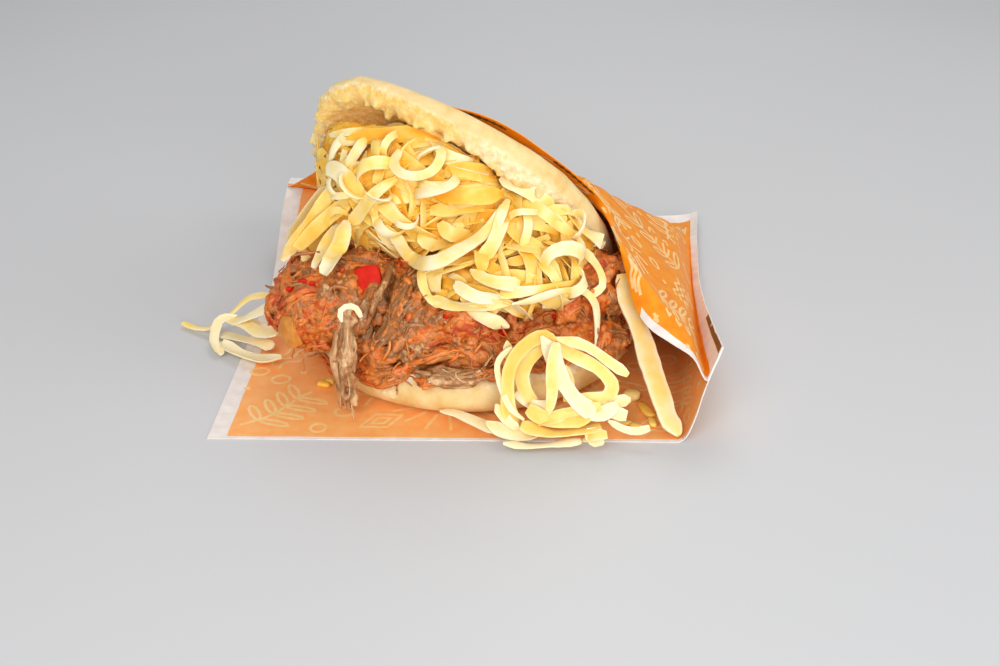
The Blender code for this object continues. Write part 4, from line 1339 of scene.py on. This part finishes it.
def stewed_beef():
    beef, shader = finish_named("stewed beef in sauce")
    place = put(beef, "TexCoord", output="Object")
    names = ("tone", "around", "reach", "closed")
    tone, around, reach, closed = (
        put(beef, "Attribute", {"attribute_name": name}, output="Fac") for name in names
    )
    cling = put(beef, "TexNoise", None, {"Vector": place, "Scale": 170.0, "Detail": 4.0})
    shift = put(beef, "MapRange", None, {0: cling, 1: 0.3, 2: 0.7, 3: -0.16, 4: 0.16})
    mixed = put(beef, "Math", {"operation": "ADD"}, {0: tone, 1: shift})
    meat = ramp(beef, mixed, BEEF_TONES)
    slow = put(beef, "Math", {"operation": "MULTIPLY"}, {0: reach, 1: 0.16})
    grain = put(beef, "CombineXYZ", None, {0: around, 1: slow, 2: tone})
    streaks = put(beef, "TexNoise", None, {"Vector": grain, "Scale": 2.6, "Detail": 3.0, "Roughness": 0.6})
    shade = put(beef, "MapRange", None, {0: streaks, 1: 0.3, 2: 0.7, 3: 0.62, 4: 1.15})
    # Painted shade: the more closed in a point is, the darker its colour.
    painted_hollow_shade = put(beef, "MapRange", None, {0: closed, 1: 0.2, 2: 0.9, 3: 1.06, 4: 0.42})
    shade = put(beef, "Math", {"operation": "MULTIPLY"}, {0: shade, 1: painted_hollow_shade})
    value = put(beef, "HueSaturation", None, {"Value": shade, "Color": meat})
    wet = put(beef, "MapRange", None, {0: cling, 1: 0.4, 2: 0.65, 3: 0.48, 4: 0.26})
    bump = put(beef, "Bump", None, {"Strength": 0.5, "Distance": 0.0004, "Height": streaks})
    set_sockets(
        shader,
        {
            "Base Color": value,
            "Roughness": wet,
            "Normal": bump,
            "Specular IOR Level": 0.5,
            "Subsurface Weight": 0.2,
            "Subsurface Radius": (1.0, 0.35, 0.15),
            "Subsurface Scale": 0.0015,
        },
    )
    return beef


beef_finish = stewed_beef()
for piece in (matted_core, joined("beef_strands", strands), joined("beef_threads", threads + bits)):
    settled(piece, beef_finish, "beef", "shredded_beef")


# The vegetables in the beef: a square of red pepper and two soft petals of onion, cut by hand and stewed
# with it.

# Each piece by its node: the way that it faces, its width, length and thickness, its turn, and how far it
# curls.
TOPPINGS = {
    "red_pepper": ((-0.15, -0.85, 0.5), (9.0, 12.0, 2.4), 14, 1.5),
    "onion_left": ((-0.75, -0.65, 0.15), (8.5, 10.5, 2.4), 20, 3.0),
    "onion_right": ((0.1, -0.9, 0.4), (9.0, 11.0, 2.4), 60, 2.5),
}


def cut_piece(node, facing, size, turn, curl):
    """A flat cut piece with soft edges, a little curled, pressed into the heap."""
    low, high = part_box(node)
    spot = (low + high) / 2 / MM
    normal = Vector(facing).normalized()
    across = normal.cross(Vector((0, 0, 1))).normalized()
    a = math.radians(turn)
    side = across * math.cos(a) + normal.cross(across) * math.sin(a)
    upward = normal.cross(side)
    bpy.ops.mesh.primitive_cube_add(size=1.0, location=(0, 0, 0))
    made = bpy.context.object
    made.name = node + "_piece"
    shaped(
        made,
        ("SUBSURF", {"subdivision_type": "SIMPLE", "levels": 3, "render_levels": 3}),
        ("BEVEL", {"width": 0.05, "segments": 2, "limit_method": "ANGLE"}),
    )
    width, length, thickness = size
    points = []
    for v in made.data.vertices:
        x, y, z = v.co
        pinch = 1 - 0.12 * noise.noise(Vector((x * 2, y * 2, turn))) - 0.16 * (4 * x * y) ** 2
        bulge = 0.45 * rough((x * 6 + turn, y * 6, z * 6), 4.0, 2)
        rise = (z + 0.3) * thickness + bulge - curl * (2 * y) ** 2 * 0.5 - curl * 0.3 * (2 * x) ** 2
        points.append(spot + side * (x * width * pinch) + upward * (y * length * pinch) + normal * rise)
    set_points(made, points)
    shaped(made, ("SUBSURF", {"levels": 1, "render_levels": 1}))
    return made


def soft_vegetable(name, tones, roughness, depth):
    """Stewed flesh, wet and clear enough that light goes into it, under a thin film of sauce."""
    flesh, shader = finish_named(name)
    place = put(flesh, "TexCoord", output="Object")
    cells = put(flesh, "TexNoise", None, {"Vector": place, "Scale": 320.0, "Detail": 3.0})
    set_sockets(
        shader,
        {
            "Base Color": ramp(flesh, cells, tones),
            "Roughness": roughness,
            "Normal": put(flesh, "Bump", None, {"Strength": 0.25, "Distance": 0.0004, "Height": cells}),
            "Specular IOR Level": 0.15,
            "Subsurface Weight": 0.2,
            "Subsurface Radius": (1.0, 0.4, 0.2),
            "Subsurface Scale": depth * MM,
        },
    )
    return flesh


red_tones, onion_tones = ((0.3, "CC180A"), (0.7, "DC2A12")), ((0.3, "C87A2C"), (0.7, "DE9C4C"))
red_flesh = soft_vegetable("stewed red pepper", red_tones, roughness=0.5, depth=0.3)
pale_flesh = soft_vegetable("stewed onion", onion_tones, roughness=0.35, depth=2.0)
for name, values in TOPPINGS.items():
    finish, slot = (red_flesh, "pepper") if "pepper" in name else (pale_flesh, "onion")
    settled(cut_piece(name, *values), finish, slot, name)


# The cheese. A mild yellow cheese pulled over a coarse grater into thin flat strips, limp enough to curl
# and drape, heaped between the beef and the upper half.

# Each lump as for the beef.
CHEESE_LUMPS = (
    ((-14, -6, 58), (33, 23, 25), 0),
    ((-34, 0, 62), (17, 20, 22), 0),
    ((18, -13, 48), (28, 20, 17), -10),
    ((7, -31, 37), (27, 17, 12), 0),
    ((-16, -2, 72), (26, 18, 14), 0),
    ((-2, 16, 46), (36, 22, 22), 0),
)
STRIPS = 900
FLAKES = 240
CURLS = 70
STRIP_ACROSS = (-1.0, -0.55, 0.0, 0.55, 1.0)
RING = len(STRIP_ACROSS) * 2
# The bare crumb begins this high. Its left flank begins this far out and ends this high.
BARE_FROM = 50.0
FLANK_SIDE = -26.0
FLANK_TOP = 76.0
# The inside of the upper half that no cheese covers, as corners in the picture.
BARE_CRUMB = (
    *((300, 60), (420, 76), (520, 150), (498, 158), (452, 131)),
    *((350, 126), (336, 150), (325, 172), (322, 192), (290, 192)),
)
# The strips that show in front. Each has its line over the picture, how far it stands out at its start,
# middle and end, and its width.
SEEN_STRIPS = (
    (((330, 135), (360, 132), (390, 131), (420, 133)), (2.5, 3.0, 2.5), 2.6),
    (((372, 138), (400, 135), (428, 135), (452, 140)), (2.0, 2.6, 2.0), 3.0),
    (((334, 142), (358, 140), (384, 139), (404, 142)), (1.6, 2.2, 1.6), 3.0),
    (((330, 160), (334, 148), (342, 138), (354, 133)), (1.6, 2.2, 1.6), 3.0),
    (((328, 164), (341, 175), (357, 193), (371, 203)), (5.0, 6.0, 4.0), 5.6),
    (((350, 224), (362, 209), (378, 192), (396, 178)), (5.0, 6.5, 4.0), 4.0),
    (
        ((400, 150), (393, 163), (402, 174), (420, 176), (435, 168), (441, 152), (430, 142)),
        (4.5, 8.0, 4.0), 3.0,
    ),
    (((389, 136), (384, 160), (376, 184)), (3.0, 4.0, 3.0), 3.4),
    (((366, 138), (356, 152), (346, 168)), (3.0, 3.5, 2.5), 3.0),
    (((432, 198), (460, 193), (500, 188)), (2.0, 3.5, 1.5), 5.0),
    (((430, 214), (462, 208), (496, 198)), (1.5, 3.0, 1.0), 4.6),
    (
        ((508, 200), (497, 221), (479, 239), (451, 255), (426, 263), (410, 256), (397, 240), (384, 226)),
        (3.0, 9.0, 5.0),
        4.3,
    ),
    (((374, 216), (369, 200), (384, 186), (393, 178)), (5.0, 6.0, 4.0), 2.6),
    (((281, 260), (297, 238), (314, 214), (334, 190)), (1.0, 4.0, 4.5), 4.6),
    (((296, 248), (312, 232), (330, 216), (349, 204)), (1.5, 4.0, 4.5), 4.6),
    (((288, 242), (300, 222), (314, 204), (328, 188)), (1.0, 3.0, 2.0), 4.0),
    (((304, 262), (312, 246), (320, 230), (326, 214)), (3.0, 5.0, 3.5), 4.4),
    (((324, 275), (334, 256), (341, 240), (346, 222)), (8.0, 10.0, 7.5), 5.8),
    (((314, 268), (322, 252), (330, 238), (340, 226)), (6.5, 8.5, 6.5), 3.6),
    (((324, 230), (327, 216), (338, 210), (350, 216)), (4.5, 6.5, 4.5), 2.4),
    (((356, 238), (371, 254), (391, 265)), (2.0, 3.2, 2.4), 3.0),
    (((480, 262), (494, 242), (504, 208)), (3.0, 5.0, 2.5), 5.0),
    (((525, 201), (528, 226), (522, 247)), (2.5, 4.0, 2.5), 2.8),
    (((562, 232), (574, 258), (574, 286)), (2.0, 4.0, 2.0), 3.4),
    (((582, 248), (598, 268), (602, 286), (588, 296)), (1.5, 4.0, 3.0), 2.8),
    (((506, 246), (534, 250), (564, 253)), (2.0, 3.5, 2.0), 3.0),
    (((500, 294), (540, 290), (584, 281)), (2.5, 4.0, 2.0), 3.2),
    (((421, 266), (424, 288), (434, 302), (448, 304)), (3.0, 3.6, 3.0), 3.0),
    (((430, 300), (458, 306), (490, 304), (512, 304)), (3.0, 3.6, 3.0), 3.4),
    (
        ((512, 304), (532, 300), (558, 292), (581, 290), (594, 302), (597, 322), (595, 347)),
        (4.5, 5.5, 5.0), 2.4,
    ),
    (((466, 309), (486, 318), (509, 327)), (4.5, 6.0, 5.0), 4.8),
    (((502, 303), (516, 310), (530, 317)), (3.0, 4.2, 3.4), 3.4),
    (((440, 222), (452, 236), (470, 232)), (3.0, 5.0, 3.0), 4.4),
    (((352, 176), (366, 168), (380, 158)), (3.0, 4.0, 3.0), 3.0),
    (((420, 232), (432, 246), (452, 240)), (2.0, 4.0, 2.0), 4.4),
    (((538, 262), (552, 274), (560, 290)), (2.5, 4.0, 2.5), 3.4),
    (((470, 270), (492, 282), (520, 284)), (2.5, 4.0, 2.5), 4.0),
    (((455, 283), (474, 296), (500, 298)), (2.5, 4.0, 2.5), 4.0),
    (((324, 190), (315, 208), (304, 228)), (2.0, 4.0, 2.0), 4.4),
    (((342, 322), (340, 312), (347, 306), (356, 308), (361, 317)), (7.0, 8.0, 7.0), 1.7),
    (((436, 150), (450, 158), (470, 166), (488, 172)), (2.0, 3.5, 2.0), 4.6),
    (((500, 178), (516, 186), (536, 196), (552, 208)), (1.0, 2.5, 1.0), 4.4),
    (((510, 190), (530, 204), (548, 216), (566, 232)), (1.0, 2.5, 1.0), 4.0),
    (((548, 212), (560, 226), (572, 236), (584, 250)), (1.0, 2.5, 1.5), 3.6),
)


# Wide strips far inside the heap, written in the same way. Their tones are lowered to a darker yellow:
# painted shade for where they lie, with the light that passes through them.
GOLDEN_STRIPS = (
    (((428, 190), (450, 195), (476, 196), (503, 194)), (3.0, 4.5, 3.0), 5.2),
    (((444, 172), (466, 170), (494, 176)), (2.5, 3.5, 2.0), 4.8),
    (((430, 208), (458, 209), (494, 201)), (2.0, 3.5, 2.0), 4.6),
    (((346, 139), (376, 135), (408, 135), (440, 143)), (2.5, 3.2, 2.0), 5.0),
    (((478, 214), (500, 216), (516, 210)), (2.0, 3.0, 2.0), 4.4),
)

# Strips tucked under the rim of the bread, each with its places over the picture, how far back they lie,
# and its width.
RIM_STRIPS = (
    (((416, 134, -18), (430, 140, -17), (446, 148, -17), (462, 157, -17)), 4.6),
    (((426, 137, -15), (440, 144, -14), (456, 153, -14), (472, 162, -14)), 4.6),
    (((468, 158, -15), (484, 167, -15), (500, 177, -16)), 4.6),
)


def strip(draw, path, ups, width, thickness=None, twist=35):
    """A strip as a grater leaves it: curled across, thin along its edges, and torn bluntly at its ends."""
    last = len(path) - 1
    seed = Vector((draw.uniform(0, 90), draw.uniform(0, 90), 0))
    blunt = draw.uniform(0.15, 0.8), draw.uniform(0.15, 0.8)
    taper = draw.uniform(3, 8), draw.uniform(3, 8)
    thickness = thickness or draw.uniform(0.8, 1.3)
    dish = draw.uniform(-0.15, 0.40) * width / 2
    turns = [math.radians(draw.uniform(-twist, twist)) for _ in range(3)]
    own = draw.uniform(0, 1)
    sections, tones = [], []
    for k, place in enumerate(path):
        share = k / last
        ends = min(1.0, blunt[0] + share * taper[0], blunt[1] + (1 - share) * taper[1])
        right, left = (
            width / 2 * ends * (1 + 0.40 * noise.noise(place * 0.09 + way) + 0.08 * noise.noise(place + way))
            for way in (seed, -seed)
        )
        turn = at_twentieth(turns, 20 * share)
        cos, sin = math.cos(turn), math.sin(turn)
        section = []
        for side in (-1, 1):
            for share_across in STRIP_ACROSS if side < 0 else STRIP_ACROSS[::-1]:
                x = share_across * (right if share_across > 0 else left)
                half = thickness / 2 * (1 - 0.62 * share_across**2) * (0.6 + 0.4 * ends)
                y = dish * (share_across**2 - 0.5) + side * half
                section.append((x * cos - y * sin, x * sin + y * cos))
                tones.append(own + 0.5 * share_across**4)
        sections.append(section)
    return (*swept(path, ups, sections), {"tone": tones})


def place_in_picture(point):
    """Where a point shows in the picture."""
    seen = EYE_TURN.to_matrix().transposed() @ (point - EYE)
    scale = -LENS / seen.z * PICTURE[0] / SENSOR
    return PICTURE[0] / 2 + seen.x * scale, PICTURE[1] / 2 - seen.y * scale


def at_depth(x, y, depth):
    """The point that shows at this place in the picture and lies this far back."""
    way = ray_through(x, y)
    spot = EYE + way * ((depth - EYE.y) / way.y)
    spot.z = max(spot.z, 1.6)
    return spot


def is_within(place, corners):
    """Whether a place lies inside a polygon."""
    inside = False
    for a, b in zip(corners, corners[1:] + corners[:1]):
        if (a[1] > place[1]) != (b[1] > place[1]):
            cross = a[0] + (place[1] - a[1]) / (b[1] - a[1]) * (b[0] - a[0])
            inside ^= place[0] < cross
    return inside


def even_steps(path, ups, pitch):
    """The same path cut into steps of about this many millimetres."""
    lengths = [0.0]
    for a, b in zip(path, path[1:]):
        lengths.append(lengths[-1] + (b - a).length)
    count = max(4, round(lengths[-1] / pitch))
    new_path, new_ups = [], []
    for k in range(count + 1):
        reach = lengths[-1] * k / count
        at = max(n for n, length in enumerate(lengths) if length <= reach + 1e-9)
        at = min(at, len(path) - 2)
        t = (reach - lengths[at]) / max(lengths[at + 1] - lengths[at], 1e-9)
        new_path.append(path[at].lerp(path[at + 1], t))
        new_ups.append(ups[at].lerp(ups[at + 1], t).normalized())
    return new_path, new_ups


def painted_light_and_shade_tones(draw, shapes, centre):
    """Gives each strip a painted tone: low, as painted shade, where other strips close it in, and high, as
    painted light, where it lies open.
    """
    together = joined("strips to shade", shapes)
    tree = tree_of(together)
    bpy.data.objects.remove(together)
    toned = []
    for points, faces, notes in shapes:
        tones = []
        for k in range(0, len(points), RING):
            middle = sum(points[k : k + RING], Vector()) / RING
            out = (middle - centre).normalized()
            free = 0
            for _ in range(10):
                way = (out + jitter(draw, 0.75)).normalized()
                free += tree.ray_cast(middle + way * 1.6, way, 11)[0] is None
            tones += [0.08 * free] * RING
        smoothed = [0.30 * own + tone for own, tone in zip(notes["tone"], tones)]
        for k in range(RING, len(tones) - RING):
            around = (tones[k - RING] + tones[k + RING]) / 2
            smoothed[k] = 0.30 * notes["tone"][k] + (tones[k] + around) / 2
        toned.append((points, faces, {"tone": smoothed}))
    return toned


def curl_from(draw, spot, normal):
    """A strip that stands out of the heap in a coil of one turn or so."""
    across = normal.cross(Vector((draw.uniform(-1, 1), draw.uniform(-1, 1), 0.8))).normalized()
    drift = normal.cross(across)
    radius = draw.uniform(2.8, 6.0)
    sweep = draw.uniform(3.4, 6.2)
    middle = spot + normal * radius * draw.uniform(0.35, 0.8)
    path, ups = [], []
    for k in range(15):
        a = sweep * (k / 14 - 0.5)
        out = across * math.sin(a) * radius + normal * math.cos(a) * radius
        path.append(middle + out + drift * (k / 14 - 0.5) * radius * 1.6)
        ups.append(out.normalized())
    return path, ups


cheese_heap = heap_of("cheese_core", CHEESE_LUMPS, grain=0.14, cutters=(behind, bread_cutter, beef_heap))
cheese_face = tree_of(cheese_heap)
shreds = []
for knots, stands, width in GOLDEN_STRIPS + SEEN_STRIPS:
    path, ups = even_steps(*laid_in_view([cheese_face, beef_face], knots, stands, 6), 2.0)
    shreds.append(strip(draw, path, ups, width))
for knots, width in RIM_STRIPS:
    path = smooth_path([at_depth(*knot) for knot in knots], 5)
    shreds.append(strip(draw, path, [Vector((0.1, -0.8, 0.6))] * len(path), width))
flank, flat_draw = [], random.Random(8)
for attempt in range(STRIPS + FLAKES + CURLS):
    towards = Vector((draw.uniform(-1, 0.9), draw.uniform(-1, 0.8), draw.uniform(-0.3, 0.8))).normalized()
    seat = Vector((draw.uniform(-40, 32), draw.uniform(-8, 2), draw.uniform(40, 70)))
    spot, normal, _, _ = cheese_face.ray_cast(seat + towards * 80, -towards)
    heading, length = draw.uniform(0, 6.3), draw.uniform(16, 48)
    bend, width = draw.uniform(-130, 130), draw.choice((1.8, 2.4, 2.8, 3.4, 4.0, 4.8, 5.6))
    sunk, risen, arch = draw.uniform(-3.0, 1.2), draw.uniform(-2.5, 1.6), draw.uniform(0.3, 2.6)
    if spot is None:
        continue
    if attempt >= STRIPS + FLAKES:
        path, ups = curl_from(draw, spot, normal)
        width *= 0.7
    else:
        steps = 11
        if attempt >= STRIPS:
            length *= 0.25
            steps = 4
        heights = (sunk, risen, arch)
        path, ups = laid_by_walking(cheese_face, spot, normal, heading, length, bend, steps, heights)
    bare = any(is_within(place_in_picture(p), BARE_CRUMB) and p.z > BARE_FROM for p in path)
    if not bare and is_clear(path, fixed, 1.0):
        shreds.append(strip(draw, path, ups, width, twist=60))
    elif bare and spot.x < FLANK_SIDE and spot.z < FLANK_TOP and normal.x < -0.5:
        # Here the heap's side would show bare, so shorter strips lie flat on it.
        length, bend, heights = min(length, 15), bend * 0.4, (0.15, 0.15, 0.5)
        path, ups = laid_by_walking(cheese_face, spot, normal, heading, length, bend, 9, heights)
        if is_clear(path, fixed, 0.8) and max(p.z for p in path) < FLANK_TOP - 4:
            flank.append(strip(flat_draw, path, ups, min(width, 3.4), thickness=0.8, twist=12))

# Young grated cheese: waxy and pale, toned paler towards the thin edges of its strips. Its strips are painted
# a darker, richer yellow where other strips close them in and paler where they lie open: painted shade and
# painted light, standing for the light that passes from strip to strip in the heap.
CHEESE_TONES = ((0.0, "FAAE2C"), (0.3, "FCC548"), (0.65, "FCDB7C"), (1.0, "FDEEC4"))


def grated_cheese():
    cheese, shader = finish_named("grated mild yellow cheese")
    place = put(cheese, "TexCoord", output="Object")
    tone = put(cheese, "Attribute", {"attribute_name": "tone"}, output="Fac")
    cloud = put(cheese, "TexNoise", None, {"Vector": place, "Scale": 210.0, "Detail": 3.0})
    shift = put(cheese, "MapRange", None, {0: cloud, 1: 0.3, 2: 0.7, 3: -0.12, 4: 0.12})
    mixed = put(cheese, "Math", {"operation": "ADD"}, {0: tone, 1: shift})
    set_sockets(
        shader,
        {
            "Base Color": ramp(cheese, mixed, CHEESE_TONES),
            "Roughness": 0.38,
            "Normal": put(cheese, "Bump", None, {"Strength": 0.25, "Distance": 0.0004, "Height": cloud}),
            "Specular IOR Level": 0.4,
            "Subsurface Weight": 0.15,
            "Subsurface Radius": (1.0, 0.8, 0.4),
            "Subsurface Scale": 0.0008,
        },
    )
    return cheese


cheese_finish = grated_cheese()
# Painted shade: the heap's middle, seen in the gaps between strips, is toned a darker yellow.
shrunk(cheese_heap, depth=2.4, amount=1.6, scale=4.0, tone=0.25)
settled(cheese_heap, cheese_finish, "cheese", "cheese_heap")
# Painted light and shade: each strip's tone is set by how openly it lies.
shreds = painted_light_and_shade_tones(draw, shreds, Vector((-4, 10, 50)))
# Painted shade: the strips far inside the heap take darker yellow tones.
for _, _, notes in shreds[: len(GOLDEN_STRIPS)]:
    notes["tone"] = [tone - 0.5 for tone in notes["tone"]]
# Painted shade: the flat strips on the heap's left flank take darker yellow tones.
for _, _, notes in flank:
    notes["tone"] = [0.2 + 0.3 * tone for tone in notes["tone"]]
settled(joined("cheese_strips", shreds + flank), cheese_finish, "cheese", "cheese_heap", crisp=50)


# The fallen cheese. Two smaller heaps of the same strips, one in loops on the paper in front and one over
# its left edge, a long strand down the right, and the crumbs that broke off them.

# The strips in front. Each has its line as places over the picture with how far back each of them lies, and
# its width.
FRONT_STRIPS = (
    (
        (
            *((519, 434, -70), (507, 404, -69), (509, 372, -66)),
            *((521, 349, -64), (541, 336, -63), (554, 342, -63)),
        ),
        4.8,
    ),
    (((546, 345, -61), (529, 359, -62), (522, 376, -63), (528, 396, -65), (546, 420, -67)), 3.8),
    (
        (
            *((541, 336, -64), (550, 352, -66), (560, 376, -68)),
            *((578, 402, -70), (600, 414, -70), (618, 405, -68)),
        ),
        5.2,
    ),
    (((556, 342, -66), (553, 362, -69), (551, 388, -71), (549, 413, -72)), 3.8),
    (((554, 338, -63), (578, 344, -62), (600, 355, -62), (628, 375, -62)), 3.4),
    (
        (
            *((556, 346, -62), (576, 356, -62), (598, 368, -63), (612, 384, -64)),
            *((606, 397, -65), (586, 399, -66), (572, 404, -67)),
        ),
        4.2,
    ),
    (
        (
            *((512, 347, -64), (500, 358, -65), (497, 370, -66)),
            *((501, 390, -68), (510, 408, -70), (524, 420, -71)),
        ),
        1.9,
    ),
    (((507, 341, -62), (508, 350, -62), (511, 362, -63)), 2.6),
    (((440, 411, -62), (455, 413, -63), (473, 420, -66), (497, 430, -70)), 4.2),
    (((486, 422, -70), (503, 431, -72), (521, 436, -73), (542, 434, -73)), 4.5),
    (((503, 443, -76.5), (530, 446, -77), (556, 444, -77), (581, 441, -76)), 3.8),
    (((521, 425, -72), (552, 433, -74), (576, 431, -74), (601, 427, -73)), 5.0),
    (((585, 431, -75), (594, 438, -76), (603, 445, -77)), 5.0),
    (((583, 441, -76.5), (596, 435, -76.5), (607, 435, -76)), 4.0),
    (((608, 421, -70), (622, 428, -72), (636, 431, -73), (650, 428, -73)), 2.6),
    (((528, 408, -69), (545, 418, -71), (566, 421, -72), (590, 419, -72)), 4.6),
    (((538, 425, -72), (560, 414, -71), (580, 410, -70), (601, 407, -69)), 4.0),
    (((606, 411, -66), (618, 402, -65), (631, 400, -65)), 4.0),
    (((598, 403, -66), (612, 412, -68), (627, 416, -69)), 4.0),
    (((516, 392, -64), (532, 404, -66), (550, 406, -67)), 3.6),
    (((496, 404, -68), (508, 422, -71), (520, 430, -72)), 3.0),
    (((562, 366, -64), (569, 384, -65), (567, 402, -67)), 3.6),
)
# The strips at the left, with their places in millimetres.
LEFT_STRIPS = (
    (((-104, 1, 1.6), (-98, -3, 1.6), (-92, -5, 3.2), (-85, -2, 7.5), (-79, 0, 12), (-70, -1, 14)), 2.4),
    (((-83, -4, 7), (-89, -6, 6.5), (-90, -13, 3), (-86, -21, 1.6)), 3.6),
    (((-86, -4, 6), (-79, -10, 7), (-73, -16, 7), (-66, -20, 9)), 5.4),
    (((-87, -14, 2.6), (-80, -21, 2), (-71, -26, 2.4), (-64, -29, 5)), 5.4),
    (((-84, -8, 6), (-75, -9, 11), (-66, -8, 15)), 6.0),
    (((-86, -2, 4), (-78, -5, 5), (-70, -12, 5), (-64, -14, 9)), 4.0),
    (((-88, -8, 2), (-78, -14, 3), (-68, -20, 4)), 4.4),
)
LOOSE_STRAND = ((49, -27, 35), (53.5, -43, 23), (57.5, -55, 13), (61, -65, 5.5), (64, -71, 2))
# The middle of each crumb and red bit in the picture, and its size.
CRUMBS = (
    ((632, 398), (5.6, 4.4, 3.0)),
    ((646, 412), (3.4, 9.0, 1.6)),
    ((622, 424), (7.0, 2.2, 1.4)),
    ((594, 438), (5.0, 3.6, 2.6)),
    ((636, 428), (5.0, 2.4, 1.4)),
    ((652, 424), (2.4, 5.0, 1.6)),
    ((612, 412), (4.4, 3.0, 1.8)),
    ((640, 434), (2.0, 2.6, 1.2)),
    ((324, 386), (4.6, 2.6, 1.6)),
    ((330, 383), (3.0, 2.4, 1.6)),
)
RED_BITS = (
    ((290, 291), (2.6, 1.6, 1.6)),
    ((303, 283), (3.4, 1.8, 1.4)),
    ((312, 285), (2.0, 1.4, 1.2)),
    ((503, 335), (3.6, 2.0, 1.6)),
    ((507, 348), (2.2, 1.8, 1.2)),
    ((556, 318), (2.8, 1.8, 1.2)),
    ((446, 318), (2.2, 1.4, 1.2)),
)
UPRIGHT = Vector((0, -0.15, 0.98))


def fallen(strips, facing):
    """Strips along smooth lines through their points, flat low down and turned to face this way above."""
    shapes = []
    for knots, width in strips:
        path = smooth_path(knots, 5)
        ups = [UPRIGHT.lerp(facing, smoothstep(4, 12, p.z)).normalized() for p in path]
        thickness = draw.uniform(0.8, 1.1)
        points, faces, notes = strip(draw, *even_steps(path, ups, 1.8), width, thickness, twist=30)
        # Painted light: lying open, these strips keep to the paler tones, as the heap's open strips do.
        shapes.append((points, faces, {"tone": [0.45 + 0.5 * tone for tone in notes["tone"]]}))
    return shapes


def crumb_at(draw, view, size):
    """A broken bit lying on what is seen at this place in the picture."""
    seen = (lower_face, upper_face, bread_face, matted_face)
    hits = [tree.ray_cast(EYE, ray_through(*view)) for tree in seen]
    spot = min((hit for hit in hits if hit[0] is not None), key=lambda hit: hit[3])[0]
    turn = draw.uniform(-0.5, 0.5)
    round_points, faces = ball(2)
    points = []
    for p in round_points:
        blocky = Vector([math.copysign(abs(c) ** 0.6, c) for c in p])
        grain = 1 + 0.25 * noise.noise(p * 1.7 + spot)
        x, y, z = (blocky[k] * size[k] / 2 * grain for k in range(3))
        x, y = x * math.cos(turn) - y * math.sin(turn), x * math.sin(turn) + y * math.cos(turn)
        points.append(spot + Vector((x, y, z + size[2] / 2)))
    return points, faces, {"tone": draw.uniform(0.3, 1.0)}


front_lines = [([at_depth(*knot) for knot in knots], width) for knots, width in FRONT_STRIPS]
front = fallen(front_lines, facing=Vector((0.1, -0.9, 0.35)))
left = fallen(LEFT_STRIPS, facing=Vector((-0.3, -0.4, 0.8)))
path = smooth_path(LOOSE_STRAND, 6)
ups = [Vector((0.25, -0.8, 0.5))] * len(path)
points, faces, notes = strip(draw, path, ups, width=6.6, thickness=2.0, twist=8)
# Painted light: the strand lies open and keeps to the paler tones too.
notes["tone"] = [0.35 + 0.5 * tone for tone in notes["tone"]]
settled(joined("cheese_front_strips", front), cheese_finish, "cheese", "cheese_front", crisp=50)
settled(joined("cheese_left_strips", left), cheese_finish, "cheese", "cheese_left", crisp=50)
strand = joined("cheese_long_strand", [(points, faces, notes)])
settled(strand, cheese_finish, "cheese", "cheese_strand", crisp=50)
settled(joined("cheese_crumbs", [crumb_at(draw, *crumb) for crumb in CRUMBS]), cheese_finish, "cheese")
settled(joined("red_pepper_bits", [crumb_at(draw, *bit) for bit in RED_BITS]), red_flesh, "pepper")

for helper in (behind, bread_cutter, beef_heap):
    bpy.data.objects.remove(helper, do_unlink=True)
